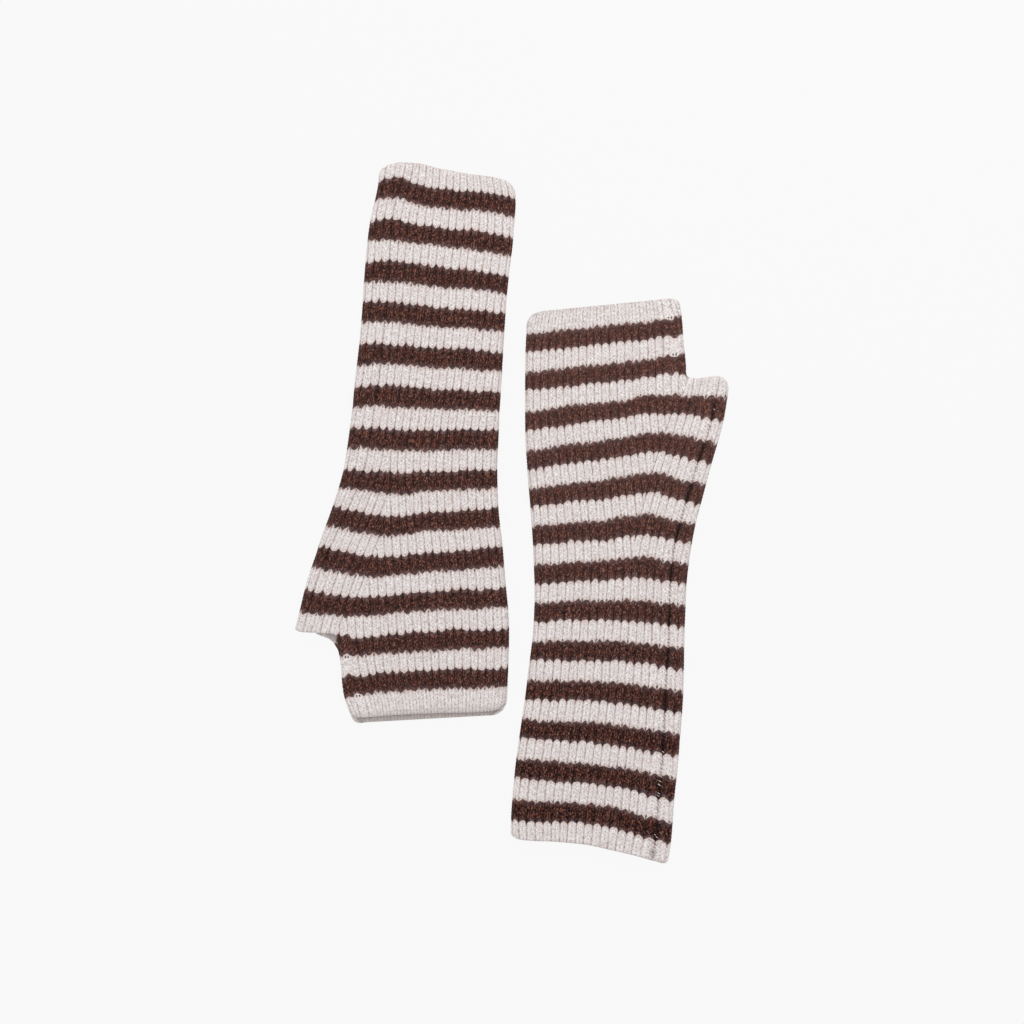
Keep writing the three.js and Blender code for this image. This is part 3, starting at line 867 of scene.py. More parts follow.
def bake_map(grids, triangles, kind, facing):
    """A place on the flat pattern for every triangle corner: distance across and distance along, with
    the hand half beside the wrist half, and the inside turned on its side above them at half size."""
    corners, of_face = triangles.ravel(), np.repeat(np.arange(len(triangles)), 3)
    band = spread(bands, grids)
    hand_half = (band[triangles].mean(1) > HALF_WAY)[of_face]
    inside = (kind == INSIDE)[of_face]
    sticks_out = (kind[of_face] == EDGE) & (corners >= grids[0]["across"].size)
    shift = np.where(sticks_out[:, None], facing[of_face] * EDGE_MARGIN, 0)
    across = spread(lambda grid: grid["across"], grids)[corners] + shift[:, 0]
    along = band[corners] * STRIPE + shift[:, 1]
    x = PATTERN_MARGIN + across + np.where(hand_half, HAND_HALF_AT, 0)
    y = PATTERN_MARGIN + along - np.where(hand_half, HALF_WAY * STRIPE, 0)
    x = np.where(inside, INSIDE_MARGIN + along / 2, x)
    y = np.where(inside, INSIDE_AT + across / 2, y)
    return np.stack([x, y], -1) / PATTERN_SIDE


print("a flat pattern", PATTERN_SIDE, "mm square holds a layer", trial["width"].max().round(1), "mm wide")

# %% [markdown]
# ## A layer as one object
# The front shows most, so its rows are closest. The back lies underneath and has fewer. The inside
# has one column to a rib and a few rows to a stripe. Four numbers go to every point, for the
# materials: nearness to the seam, fullness of the groove, inside or not, and a painted pale veil of
# light on the dark stripes.

# %% One layer as a mesh
def knit_layer(warmer, side):
    """Builds one layer of a warmer as a closed shell with its two maps, and returns it and its grid."""
    upper = side == "front"
    outer = lay_grid(warmer, warmer[side], ROWS[side], FINE)
    inner = lay_grid(warmer, warmer[side], INSIDE_ROWS, COARSE)
    grids = outer, inner
    triangles, kind, from_side, facing = shell_triangles(outer, inner)
    knit = knit_map(grids, triangles, kind, from_side)
    bake = bake_map(grids, triangles, kind, facing)
    points = np.concatenate([layer_points(outer, upper, True), layer_points(inner, upper, False)])
    at_points = dict(
        seam=spread(seam_nearness, grids),
        filled=spread(filled_grooves, grids),
        lining=np.arange(len(points)) >= outer["across"].size,
        # a painted pale veil of light that lightens the dark stripes, eased in over its stripes
        bloom=warmer["bloom"] * ease(*warmer["bloom_over"], spread(bands, grids)),
    )

    used, renumbered = np.unique(triangles, return_inverse=True)
    triangles = renumbered.reshape(-1, 3)
    knit, bake = knit.reshape(-1, 3, 2), bake.reshape(-1, 3, 2)
    if not upper:  # the back layer is turned over, which turns its triangles round
        triangles, knit, bake = triangles[:, ::-1], knit[:, ::-1], bake[:, ::-1]
    made = flat_mesh(f"{warmer['name']}_warmer_{side}", points[used], triangles)
    mesh = made.data
    for name, places in (("Knit", knit), ("OFBake", bake)):
        uv_map = mesh.uv_layers.new(name=name, do_init=False)
        uv_map.data.foreach_set("uv", places.astype(np.float32).ravel())
    mesh.uv_layers["Knit"].active_render = True
    for name, values in at_points.items():
        attribute = mesh.attributes.new(name, "FLOAT", "POINT")
        attribute.data.foreach_set("value", values[used].astype(np.float32))
    mesh.polygons.foreach_set("use_smooth", kind != EDGE)
    mesh.update()
    print(made.name, len(mesh.polygons), "triangles,", (points[:, 2].max() * 1000).round(2), "mm top")
    return made, outer


layers = {}
for warmer in (RIGHT, LEFT):
    for side in ("back", "front"):
        layers[warmer["name"], side] = knit_layer(warmer, side)

# %% [markdown]
# ## Yarn of the long seam
# The right warmer's long seam is sewn with pale yarn. It shows as short slanting stitches where it
# crosses dark stripes, and its end is tied off in a small coil near the hem. A curve with a bevel
# would do for one stitch. Here all of them are swept at once: a ring of points goes along each path.

# %% A tube of yarn
ROUND = 8  # points round a tube


def yarn_tubes(paths, thickness, shade):
    """Closed tubes round paths given as an array (tubes, steps, 3) in mm. A ring of points
    p + r (cos a side + sin a up) goes round each step, and r narrows near the ends by 1 - 0.6 t^8.
    Also returns how shaded each point is: shade (1.1 - 1.2 sin a), kept between 0 and 1."""
    count, steps, _ = paths.shape
    along = np.gradient(paths, axis=1)
    side = np.stack([along[..., 1], -along[..., 0], np.zeros((count, steps))], -1)
    side /= np.linalg.norm(side, axis=-1, keepdims=True)
    angle = np.arange(ROUND) / ROUND * 2 * math.pi
    radius = thickness / 2 * (1 - 0.6 * np.linspace(-1, 1, steps) ** 8)
    outward = np.cos(angle)[:, None] * side[:, :, None] + np.sin(angle)[:, None] * np.array([0, 0, 1.0])
    rings = paths[:, :, None] + radius[:, None, None] * outward
    points = np.concatenate([rings.reshape(count, -1, 3), paths[:, :1], paths[:, -1:]], axis=1)

    this, after = np.arange(ROUND), (np.arange(ROUND) + 1) % ROUND
    ring = np.arange(steps - 1)[:, None] * ROUND
    a, b, c, d = ring + this, ring + after, ring + ROUND + after, ring + ROUND + this
    start, end, last_ring = steps * ROUND, steps * ROUND + 1, (steps - 1) * ROUND
    triangles = np.concatenate([
        np.stack([a, c, b], -1).reshape(-1, 3),
        np.stack([a, d, c], -1).reshape(-1, 3),
        np.stack([np.full(ROUND, start), this, after], -1),
        np.stack([np.full(ROUND, end), last_ring + after, last_ring + this], -1),
    ])
    each_tube = np.arange(count)[:, None, None] * points.shape[1]
    under_shade = np.clip(shade * (1.1 - 1.2 * np.sin(angle)), 0, 1)
    under_shade = np.broadcast_to(under_shade, (count, steps, ROUND)).reshape(count, -1)
    under_shade = np.concatenate([under_shade, np.ones((count, 2))], axis=1)
    return points.reshape(-1, 3), (triangles[None] + each_tube).reshape(-1, 3), under_shade.ravel()


straight = np.stack([np.linspace(0, 2, 9), np.zeros(9), np.zeros(9)], -1)[None]
print("a short stitch is", len(yarn_tubes(straight, 0.5, 1)[1]), "triangles")

# %% [markdown]
# ## Stitches and the knot
# A stitch is sewn over the groove from one rib to the next, so each path crosses the groove at a
# slant, bowed up a little. The knot is one turn and a bit of doubled yarn, a little wider than it is
# high, that climbs inwards.

# %% Stitches and the knot
YARN, KNOT_YARN = 0.45, 0.8  # mm thick, and where it is doubled in the knot
STITCH_COLUMNS = ("band", "off", "reach", "fall")  # stripe, then mm: aside, half width, half slope
STITCHES = [
    (1.13, 0.5, 0.45, 0.30), (1.24, -0.5, 0.45, 0.30),
    (3.05, -0.3, 0.70, 0.50), (3.19, -0.2, 0.65, 0.50), (3.56, -0.3, 0.75, 0.50), (3.74, -0.2, 0.70, 0.50),
    (3.93, -0.1, 0.90, 0.80), (5.04, 0.1, 0.50, 0.40), (21.4, 0.2, 0.40, 0.30),
]
STITCH_RISE, STITCH_BOW = 0.6, 0.15  # mm above the bottom of the groove
KNOT_BAND, KNOT_RADIUS = 0.46, 1.4  # the coil's place along the seam and its radius in mm
KNOT_ASIDE, KNOT_RISE, KNOT_CLIMB = 0.4, 1.35, 0.4  # mm
KNOT_START, KNOT_ANGLE = 0.6, 2.15 * math.pi  # where the coil starts and how far round it goes


def on_seam(grid, at_bands):
    """Points in mm on the outside of a front layer, on the long seam's groove at each of the bands."""
    points = layer_points(grid, True, True).reshape(*grid["across"].shape, 3) / MM
    rows = np.argmin(np.abs(grid["band"][:, None] - at_bands), axis=0)
    far = grid["beyond"][0]
    seam, numbers = grid["warmer"]["seam"], grid["side_number"]
    return np.array([
        [np.interp(seam, numbers[row, far], points[row, far, axis]) for axis in range(3)]
        for row in rows])


right_grid = layers["right", "front"][1]
stitch = dict(zip(STITCH_COLUMNS, np.array(STITCHES).T[:, :, None]))
middles = on_seam(right_grid, stitch["band"][:, 0])
t = np.linspace(-1, 1, 9)[None]
stitch_paths = np.stack([
    middles[:, :1] + stitch["off"] + stitch["reach"] * t,
    middles[:, 1:2] - stitch["fall"] * t,
    middles[:, 2:] + STITCH_RISE + STITCH_BOW * (1 - t**2),
], -1)
knot_at = on_seam(right_grid, np.array([KNOT_BAND]))[0]
turn_angle = np.linspace(KNOT_START, KNOT_START + KNOT_ANGLE, 40)
climb = np.linspace(0, 1, 40)
knot_path = np.stack([
    knot_at[0] - KNOT_ASIDE + KNOT_RADIUS * (1.05 - 0.25 * climb) * np.cos(turn_angle),
    knot_at[1] - KNOT_ASIDE + KNOT_RADIUS * (0.9 - 0.25 * climb) * np.sin(turn_angle),
    knot_at[2] + KNOT_RISE + KNOT_CLIMB * climb,
], -1)[None]
print(len(STITCHES), "stitches, the first", stitch_paths[0, 4, 2].round(2), "mm above the floor")

# %% [markdown]
# ## The yarn as two pieces
# The knot's yarn is doubled, so it is thicker, and more painted shade darkens its sides and underside.

# %% The yarn as two pieces
seam_yarn = []
for name, paths, thickness, shade in (
        ("right_seam_stitches", stitch_paths, YARN, 1), ("right_seam_knot", knot_path, KNOT_YARN, 1.6)):
    points, triangles, under_shade = yarn_tubes(paths, thickness, shade)
    piece = flat_mesh(name, points * MM, triangles)
    attribute = piece.data.attributes.new("under_shade", "FLOAT", "POINT")
    attribute.data.foreach_set("value", under_shade.astype(np.float32))
    piece.data.polygons.foreach_set("use_smooth", np.ones(len(triangles), bool))
    seam_yarn.append(piece)
    print(name, len(triangles), "triangles")

# %% [markdown]
# ## Lambswool
# The yarn is woollen-spun lambswool: short crimped fibres, dyed before spinning, so that a dark
# brown holds lighter, redder and nearly black hairs and a pale oatmeal holds beige ones. It is matt,
# with a bloom of loose fibre that lightens its edges. Wool has an IOR near 1.55 and no clear
# highlight. The stripes, the stitches and the grooves are drawn on the `Knit` map, so they follow
# the ribs. The flecks and fibres are drawn in the object's own space. Their scale is the number of
# cells in a metre, and is worked out from how many of them go to a centimetre of yarn.

# %% A node with its settings and links
def node(tree, kind, inputs=(), output=0, **settings):
    """Adds one node, sets its settings, fills its inputs with values or links, and returns an output."""
    made = tree.nodes.new("ShaderNode" + kind)
    for key, value in settings.items():
        setattr(made, key, value)
    for key, value in dict(inputs).items():
        if isinstance(value, bpy.types.NodeSocket):
            tree.links.new(value, made.inputs[key])
        else:
            made.inputs[key].default_value = value
    return made.outputs[output]


def fill_ramp(socket, stops):
    """Sets the stops of the colour ramp that a socket belongs to: (position, hex colour)."""
    ramp = socket.node.color_ramp
    while len(ramp.elements) < len(stops):
        ramp.elements.new(0.5)
    for element, (position, colour) in zip(ramp.elements, stops):
        element.position = position
        element.color = linear(colour)
    return socket


PER_CM = 1 / (10 * MM)  # noise of this scale has one cell to a centimetre

wool = bpy.data.materials.new("striped_lambswool_rib")
wool.use_nodes = True
tree = wool.node_tree
shader = tree.nodes["Principled BSDF"]
print("material", wool.name)

# %% [markdown]
# ## Where a point lies in the knitting
# `place` is 0 in the middle of a rib and 1 in its grooves. A stripe of one yarn ends in the points of
# its stitches: where dark wool starts, the pale stitches before it show as round arches, and where
# pale wool starts, the dark ones show as low points. `into_dark` is the number of courses from a
# point to the nearest change of yarn, and is negative in a pale stripe. It is the wave
# 3 - |(courses + 9) mod 12 - 6|, shifted back by up to a course towards the grooves. No two ribs
# change yarn at quite the same height.

# %% Stitch coordinates
HALF_STRIPE = COURSES / 2
PERIOD = 2 * COURSES  # courses from one dark stripe to the next
LAST_COURSE = 27 * COURSES  # at the finger end

on_knit = node(tree, "UVMap", uv_map="Knit")
rib_number = node(tree, "SeparateXYZ", {0: on_knit}, 0)
course = node(tree, "SeparateXYZ", {0: on_knit}, 1)
here = node(tree, "TexCoord", output="Object")
seam_near, filled_near, lining_here = (
    node(tree, "Attribute", attribute_name=name, output="Fac") for name in ("seam", "filled", "lining"))

# uneven tension, in patches of 2 mm, moves a stitch by a few tenths of a millimetre
tension = node(tree, "TexNoise", {"Vector": here, "Scale": 4.5 * PER_CM, "Detail": 0}, "Fac")
sway = node(tree, "Math", {0: tension, 1: -0.5}, operation="ADD")
course_here = node(tree, "Math", {0: sway, 1: 0.9, 2: course}, operation="MULTIPLY_ADD")
rib_here = node(tree, "Math", {0: sway, 1: 0.12, 2: rib_number}, operation="MULTIPLY_ADD")

# each rib changes yarn at its own height, within half a course
rib_id = node(tree, "Math", {0: rib_number}, operation="FLOOR")
change_id = node(tree, "Math", {0: course, 1: 1 / COURSES, 2: 0.5}, operation="MULTIPLY_ADD")
change_id = node(tree, "Math", {0: change_id}, operation="FLOOR")
each = node(tree, "CombineXYZ", {"X": rib_id, "Y": change_id})
luck = node(tree, "TexWhiteNoise", {"Vector": each}, "Value", noise_dimensions="2D")
course_here = node(tree, "Math", {0: luck, 1: 0.5, 2: course_here}, operation="MULTIPLY_ADD")

# the place in the rib: |2 frac(rib) - 1|
fraction = node(tree, "Math", {0: rib_here}, operation="FRACT")
centred = node(tree, "Math", {0: fraction, 1: 2.0, 2: -1.0}, operation="MULTIPLY_ADD")
place = node(tree, "Math", {0: centred}, operation="ABSOLUTE")

# how far a change of yarn is shifted: arches where dark wool starts, low points where pale wool does
arch = node(tree, "Math", {0: place, 1: 1.6}, operation="POWER")
arch = node(tree, "Math", {0: arch, 1: 0.75, 2: -0.12}, operation="MULTIPLY_ADD")
cusp = node(tree, "Math", {0: place, 1: 12.0}, operation="POWER")
arch = node(tree, "Math", {0: cusp, 1: 0.4, 2: arch}, operation="MULTIPLY_ADD")
point = node(tree, "Math", {0: place, 1: 0.9, 2: -0.1}, operation="MULTIPLY_ADD")
wave = node(tree, "Math", {0: course, 1: HALF_STRIPE}, operation="ADD")
wave = node(tree, "Math", {0: wave, 1: PERIOD}, operation="MODULO")
pale_starts = node(tree, "Math", {0: wave, 1: COURSES}, operation="LESS_THAN")
drop = node(tree, "Mix", {0: pale_starts, 2: arch, 3: point}, data_type="FLOAT")
drop = node(tree, "Mix", {0: filled_near, 2: drop, 3: 1.3}, data_type="FLOAT")

# the wave over the courses, held in the middle of the first and last stripes, which are pale, so that
# no dark wool shows past them
slanted = node(tree, "Math", {0: drop, 1: course_here}, operation="ADD")
slanted = node(tree, "Math", {0: slanted, 1: 0.4}, operation="SUBTRACT")
held = {"Value": slanted, "Min": HALF_STRIPE, "Max": LAST_COURSE - HALF_STRIPE}
slanted = node(tree, "Clamp", held)
wave = node(tree, "Math", {0: slanted, 1: COURSES + HALF_STRIPE}, operation="ADD")
wave = node(tree, "Math", {0: wave, 1: PERIOD}, operation="MODULO")
wave = node(tree, "Math", {0: wave, 1: COURSES}, operation="SUBTRACT")
wave = node(tree, "Math", {0: wave}, operation="ABSOLUTE")
into_dark = node(tree, "Math", {0: HALF_STRIPE, 1: wave}, operation="SUBTRACT")
is_dark = node(tree, "MapRange", {"Value": into_dark, "From Min": -0.1, "From Max": 0.1})
print("a stripe is", COURSES, "courses of", round(STRIPE / COURSES, 2), "mm")

# %% [markdown]
# ## The two yarns
# A lambswool hair is 0.02 mm thick, far too fine to show, so the heather is drawn as coarse as a
# strand of the yarn, 0.8 mm, with a slower drift from one length of yarn to the next and streaks
# that run along the ribs with the legs of the stitches, six to a rib. The dark yarn is carded from
# near-black, chestnut and a little grey-violet wool.

# %% Heathered colours
# flecks of 0.8 mm, drift over 3 mm
flecks = {"Vector": here, "Scale": 12.5 * PER_CM, "Detail": 2, "Roughness": 0.7}
fleck = node(tree, "TexNoise", flecks, "Fac")
drift = node(tree, "TexNoise", {"Vector": here, "Scale": 3.3 * PER_CM, "Detail": 2}, "Fac")
heather = node(tree, "Mix", {0: 0.22, 2: fleck, 3: drift}, data_type="FLOAT")
across_ribs = node(tree, "Math", {0: rib_here, 1: 6.0}, operation="MULTIPLY")
along_ribs = node(tree, "Math", {0: course_here, 1: 1.1}, operation="MULTIPLY")
in_ribs = node(tree, "CombineXYZ", {"X": across_ribs, "Y": along_ribs})
streaks = {"Vector": in_ribs, "Scale": 1.0, "Detail": 1}
streak = node(tree, "TexNoise", streaks, "Fac", noise_dimensions="2D")
heather = node(tree, "Mix", {0: 0.4, 2: heather, 3: streak}, data_type="FLOAT")
dark_yarn = fill_ramp(node(tree, "ValToRGB", {0: heather}), [
    (0.395, "#030001"), (0.46, "#200b09"), (0.53, "#421e18"), (0.63, "#8f6151")])

# tufts of 3 mm that are more chestnut or more violet
tufts = {"Vector": here, "Scale": 3 * PER_CM, "Detail": 2, "Roughness": 0.6, "Distortion": 1.0}
tone = node(tree, "TexNoise", tufts, "Fac")
chestnut = node(tree, "MapRange", {"Value": tone, "From Min": 0.55, "From Max": 0.68, "To Max": 0.38})
dark_yarn = node(tree, "Mix", {0: chestnut, 6: dark_yarn, 7: linear("#5f2918")}, data_type="RGBA", output=2)
violet = node(tree, "MapRange", {"Value": tone, "From Min": 0.45, "From Max": 0.34, "To Max": 0.34})
dark_yarn = node(tree, "Mix", {0: violet, 6: dark_yarn, 7: linear("#2b1f24")}, data_type="RGBA", output=2)

# a painted pale veil of light on the dark yarn, as much as the mesh says, and the pale yarn, rosier where the
# dark one is chestnut
bloom = node(tree, "Attribute", attribute_name="bloom", output="Fac")
dark_yarn = node(tree, "Mix", {0: bloom, 6: dark_yarn, 7: linear("#bf8f86")}, data_type="RGBA", output=2)
pale_yarn = fill_ramp(node(tree, "ValToRGB", {0: heather}), [
    (0.37, "#cabcb9"), (0.46, "#e4dbd9"), (0.54, "#f0eae9"), (0.64, "#fffefe")])
rosy = node(tree, "Mix", {0: chestnut, 6: pale_yarn, 7: linear("#e6cfc6")}, data_type="RGBA", output=2)

# hairs of the pale yarn lie over the first dark course beside it, and warm ones edge the pale yarn
nearby = {"Value": into_dark, "From Min": 0.1, "From Max": 1.3, "To Min": 0.4, "To Max": 0.0}
haze = node(tree, "MapRange", nearby)
haze = node(tree, "Math", {0: haze, 1: drift}, operation="MULTIPLY")
hazy_dark = node(tree, "Mix", {0: haze, 6: dark_yarn, 7: linear("#a3939a")}, data_type="RGBA", output=2)
fringe = node(tree, "MapRange", {"Value": into_dark, "From Min": -0.9, "From Max": 0.0, "To Max": 0.5})
fringed = node(tree, "Mix", {0: fringe, 6: rosy, 7: linear("#c4a090")}, data_type="RGBA", output=2)
yarn = node(tree, "Mix", {0: is_dark, 6: fringed, 7: hazy_dark}, data_type="RGBA", output=2)
print(len(tree.nodes), "nodes to colour two yarns")

# %% [markdown]
# ## Grooves, with painted shade
# Purl stitches lie deep in a groove, and the shade there is painted in tan and grey, more so at some
# courses than at others. The groove gets shallow in the last courses before the bound-off end, so its
# painted shade shows less.

# %% Shading in the grooves
sinking = {"Value": place, "From Min": 0.66, "From Max": 1.0}
groove_shade = node(tree, "MapRange", sinking, interpolation_type="SMOOTHSTEP")
open_groove = node(tree, "Math", {0: 1.0, 1: filled_near}, operation="SUBTRACT")
groove_shade = node(tree, "Math", {0: groove_shade, 1: open_groove}, operation="MULTIPLY")
purl_shade = node(tree, "TexNoise", {"Vector": here, "Scale": 9 * PER_CM, "Detail": 1}, "Fac")
purl_shade_range = {"Value": purl_shade, "From Min": 0.38, "From Max": 0.6, "To Min": 0.35, "To Max": 1.0}
purl_shade = node(tree, "MapRange", purl_shade_range)
last_courses = {"From Min": LAST_COURSE - 6.5, "From Max": LAST_COURSE - 4.5, "To Min": 1.0, "To Max": 0.55}
ends = node(tree, "MapRange", {"Value": course, **last_courses})
purl_shade = node(tree, "Math", {0: purl_shade, 1: ends}, operation="MULTIPLY")
# painted shade in the grooves, tan on the pale stripes and grey on the dark ones, multiplied in
groove_shade_colours = {0: is_dark, 6: linear("#cdc0bb"), 7: linear("#aca4a2")}
groove_shade_colour = node(tree, "Mix", groove_shade_colours, data_type="RGBA", output=2)
groove_shade_amount = node(tree, "Math", {0: groove_shade, 1: purl_shade}, operation="MULTIPLY")
shaded = node(tree, "Mix", {0: groove_shade_amount, 6: yarn, 7: groove_shade_colour},
              data_type="RGBA", blend_type="MULTIPLY", output=2)
print(len(tree.nodes), "nodes with the grooves")

# %% [markdown]
# ## The long seam
# The seam is laced once a course, so its groove is a ladder of gaps that slant across it, with painted
# shade in the gaps. On the dark stripes the gaps run together, and the painted shade makes it the
# darkest groove of all.

# %% Shading along the seam
offset = node(tree, "Math", {0: rib_here, 1: 0.5}, operation="ADD")
offset = node(tree, "Math", {0: offset}, operation="FRACT")
seam_gap_shade = node(tree, "Math", {0: offset, 1: 1.8, 2: course_here}, operation="MULTIPLY_ADD")
seam_gap_shade = node(tree, "Math", {0: seam_gap_shade, 1: 2 * math.pi}, operation="MULTIPLY")
seam_gap_shade = node(tree, "Math", {0: seam_gap_shade}, operation="COSINE")
seam_gap_shade = node(tree, "MapRange", {"Value": seam_gap_shade, "From Min": -0.3, "From Max": 0.6, "To Max": 0.9})
seam_gap_shade = node(tree, "Math", {0: seam_gap_shade, 1: seam_near}, operation="MULTIPLY")
seam_gap_shade = node(tree, "Mix", {0: is_dark, 2: seam_gap_shade, 3: seam_near}, data_type="FLOAT")
# painted shade in the seam's gaps, multiplied in
seam_shade_colours = {0: is_dark, 6: linear("#b5a8aa"), 7: linear("#6e6465")}
seam_shade_colour = node(tree, "Mix", seam_shade_colours, data_type="RGBA", output=2)
shaded = node(tree, "Mix", {0: seam_gap_shade, 6: shaded, 7: seam_shade_colour},
              data_type="RGBA", blend_type="MULTIPLY", output=2)
print(len(tree.nodes), "nodes with the seam")

# %% [markdown]
# ## Legs of the stitches
# The yarn dips out of the light between one leg and the next, along the same slant as the ripples of
# the relief, and that shade is painted in. Where two legs part, in the middle of a rib, a small eyelet
# shows as painted shade. The last few courses are tight, and the parting is a dark line of painted
# shade there.

# %% Shading between the legs
leg_phase = node(tree, "Math", {0: place, 1: SLANT, 2: course_here}, operation="MULTIPLY_ADD")
leg_phase = node(tree, "Math", {0: leg_phase, 1: 2 * math.pi}, operation="MULTIPLY")
leg_beat = node(tree, "Math", {0: leg_phase}, operation="COSINE")
leg_gap_shade = node(tree, "MapRange", {"Value": leg_beat, "From Min": 0.2, "From Max": 1.0, "To Max": 0.14})
middle = node(tree, "MapRange", {"Value": place, "From Max": 0.2, "To Min": 0.06, "To Max": 0.0})
leg_shade = node(tree, "Math", {0: leg_gap_shade, 1: middle}, operation="ADD")
beat = node(tree, "Math", {0: course_here, 1: 2 * math.pi}, operation="MULTIPLY")
beat = node(tree, "Math", {0: beat}, operation="COSINE")
eyelet_shade = node(tree, "MapRange", {"Value": beat, "From Min": 0.3, "From Max": 0.9, "To Max": 0.3})
parting = {"Value": place, "From Min": 0.08, "From Max": 0.22, "To Min": 1.0, "To Max": 0.0}
at_middle = node(tree, "MapRange", parting)
leg_shade = node(tree, "Math", {0: eyelet_shade, 1: at_middle, 2: leg_shade}, operation="MULTIPLY_ADD")
last_courses = {"From Min": LAST_COURSE - 5.5, "From Max": LAST_COURSE - 3.5, "To Max": 0.22}
tip_line_shade = node(tree, "MapRange", {"Value": course, **last_courses})
leg_shade = node(tree, "Math", {0: tip_line_shade, 1: at_middle, 2: leg_shade}, operation="MULTIPLY_ADD")
# painted shade between the legs, in the eyelets and along the parting
shaded = node(tree, "Mix", {0: leg_shade, 6: shaded, 7: linear("#6d5a54")}, data_type="RGBA", output=2)
print(len(tree.nodes), "nodes with the legs")

# %% [markdown]
# ## Gaps where the yarn changes
# The first pale stitches after a dark stripe stand a little apart, so a dark gap of painted shade
# shows here and there at the foot of a pale groove. On the short seam, where spare cloth fills the
# groove, the stitches are pulled into scallops, with a pair of dark gaps of painted shade in each.

# %% Gaps at the change of yarn
foot = node(tree, "Math", {0: into_dark, 1: -0.6, 2: 0.4}, operation="COMPARE")
in_groove = node(tree, "Math", {0: place, 1: 0.80}, operation="GREATER_THAN")
foot = node(tree, "Math", {0: foot, 1: in_groove}, operation="MULTIPLY")
foot = node(tree, "Math", {0: foot, 1: pale_starts}, operation="MULTIPLY")
loose = node(tree, "TexNoise", {"Vector": here, "Scale": 2.6 * PER_CM, "Detail": 0}, "Fac")
loosely = {"Value": loose, "From Min": 0.42, "From Max": 0.62, "To Min": 0.1, "To Max": 0.8}
loose = node(tree, "MapRange", loosely)
loose = node(tree, "Math", {0: filled_near, 1: 1.6, 2: loose}, operation="MULTIPLY_ADD")
part_filled = node(tree, "Math", {0: filled_near, 1: 0.5}, operation="LESS_THAN")
foot_gap_shade = node(tree, "Math", {0: foot, 1: loose}, operation="MULTIPLY", use_clamp=True)
foot_gap_shade = node(tree, "Math", {0: foot_gap_shade, 1: part_filled}, operation="MULTIPLY")
# painted shade in the gaps at the foot of a pale groove
shaded = node(tree, "Mix", {0: foot_gap_shade, 6: shaded, 7: linear("#5b5154")}, data_type="RGBA", output=2)

twin_gap_shade = node(tree, "Math", {0: place, 1: 0.71, 2: 0.12}, operation="COMPARE")
twin_at = node(tree, "Math", {0: into_dark, 1: -0.85, 2: 0.36}, operation="COMPARE")
twin_gap_shade = node(tree, "Math", {0: twin_gap_shade, 1: twin_at}, operation="MULTIPLY")
twin_gap_shade = node(tree, "Math", {0: twin_gap_shade, 1: pale_starts}, operation="MULTIPLY")
well_filled = node(tree, "Math", {0: filled_near, 1: 0.5}, operation="GREATER_THAN")
twin_gap_shade = node(tree, "Math", {0: twin_gap_shade, 1: well_filled}, operation="MULTIPLY")
# painted shade in the pairs of gaps in the scallops
shaded = node(tree, "Mix", {0: twin_gap_shade, 6: shaded, 7: linear("#241a1a")}, data_type="RGBA", output=2)
print(len(tree.nodes), "nodes with the gaps")

# %% [markdown]
# ## Edges and lining
# The cast-on and bound-off edges are denser than the rest, and painted greyer with the shade of their
# rolled rims. The inside of a rib is purl, and is painted darker like the bottom of its grooves, as
# the shade inside the tube.

# %% Edges and lining
hem_course = {"From Min": 0.1, "From Max": 0.7, "To Min": 0.32, "To Max": 0.0}
hem_edge_shade = node(tree, "MapRange", {"Value": course, **hem_course})
tip_course = {"From Min": LAST_COURSE - 1, "From Max": LAST_COURSE - 0.1, "To Max": 0.32}
tip_edge_shade = node(tree, "MapRange", {"Value": course, **tip_course})
edge_shade = node(tree, "Math", {0: hem_edge_shade, 1: tip_edge_shade}, operation="ADD")
# painted grey shade on the rolled rims of the hem and finger end
shaded = node(tree, "Mix", {0: edge_shade, 6: shaded, 7: linear("#b0a5a2")}, data_type="RGBA", output=2)
lining_shade_amount = node(tree, "Math", {0: lining_here, 1: 0.3}, operation="MULTIPLY")
# painted shade on the inside of the tube
shaded = node(tree, "Mix", {0: lining_shade_amount, 6: shaded, 7: linear("#9a8c84")}, data_type="RGBA", output=2)
tree.links.new(shaded, shader.inputs["Base Color"])
print(len(tree.nodes), "nodes with the edges")

# %% [markdown]
# ## Fibre and bloom
# Fine relief for single strands, and a sheen for the loose fibre that stands up off the yarn. The
# strands are 0.4 mm wide, which is coarser than the hairs, so that they show.

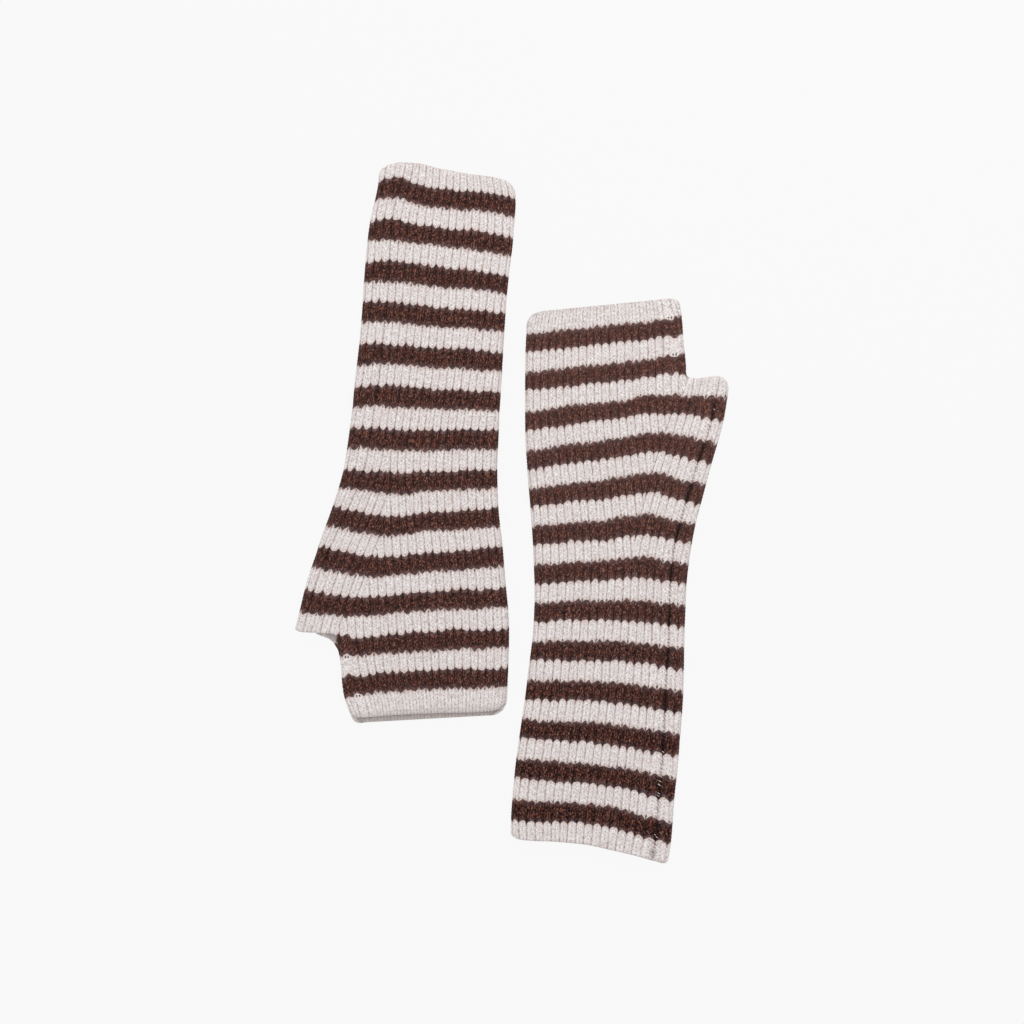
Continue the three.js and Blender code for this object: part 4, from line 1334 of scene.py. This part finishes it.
# %% Surface of the wool
hairs = {"Vector": here, "Scale": 26 * PER_CM, "Detail": 3, "Roughness": 0.65}
strands = node(tree, "TexNoise", hairs, "Fac")
bump = node(tree, "Bump", {"Strength": 0.5, "Distance": 0.3 * MM, "Height": strands})
tree.links.new(bump, shader.inputs["Normal"])
shader.inputs["Roughness"].default_value = 0.92
shader.inputs["IOR"].default_value = 1.55
shader.inputs["Specular IOR Level"].default_value = 0.12
shader.inputs["Sheen Weight"].default_value = 0.05
shader.inputs["Sheen Roughness"].default_value = 0.45
shader.inputs["Sheen Tint"].default_value = linear("#f4ece6")
print(len(tree.nodes), "nodes in", wool.name)

# %% [markdown]
# ## Sewing yarn
# The seam is sewn with the pale knitting yarn itself, two plies twisted together. The plies show as
# slanting stripes of light and shade. A diagonal wave of scale s repeats every 2 pi / (10 s) of
# x + y + z. Here that is 1.4 mm, so that the stripes lie 1 mm apart on the yarn.

# %% Sewing yarn
sewing = bpy.data.materials.new("pale_two_ply_lambswool")
sewing.use_nodes = True
tree = sewing.node_tree
shader = tree.nodes["Principled BSDF"]
here = node(tree, "TexCoord", output="Object")
plies = node(tree, "TexWave", {"Vector": here, "Scale": 450, "Distortion": 1.5, "Detail": 1}, "Fac",
             wave_type="BANDS", bands_direction="DIAGONAL")
ply_colour = fill_ramp(node(tree, "ValToRGB", {0: plies}), [
    (0.1, "#a99d99"), (0.5, "#cbc1be"), (0.8, "#e6dfdd")])
# painted shade on the sides and underside of the yarn, as much as the mesh says
under_shade = node(tree, "Attribute", attribute_name="under_shade", output="Fac")
ply_colour = node(tree, "Mix", {0: under_shade, 6: ply_colour, 7: linear("#857a7b")}, data_type="RGBA", output=2)
tree.links.new(ply_colour, shader.inputs["Base Color"])
bump = node(tree, "Bump", {"Strength": 0.5, "Distance": 0.1 * MM, "Height": plies})
tree.links.new(bump, shader.inputs["Normal"])
shader.inputs["Roughness"].default_value = 0.9
shader.inputs["IOR"].default_value = 1.55
shader.inputs["Specular IOR Level"].default_value = 0.25
for piece in seam_yarn:
    piece.data.materials.append(sewing)
    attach(piece, "root")
print(len(tree.nodes), "nodes in", sewing.name)

# %% [markdown]
# ## Fitting the pieces to the frame
# Each layer stands for its solid in the frame. It takes the wool and hangs from the root, and its
# solid is hidden.


for (name, side), (piece, grid) in layers.items():
    piece.data.materials.append(wool)
    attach(piece, "root")
    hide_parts(f"{name}_{side}")
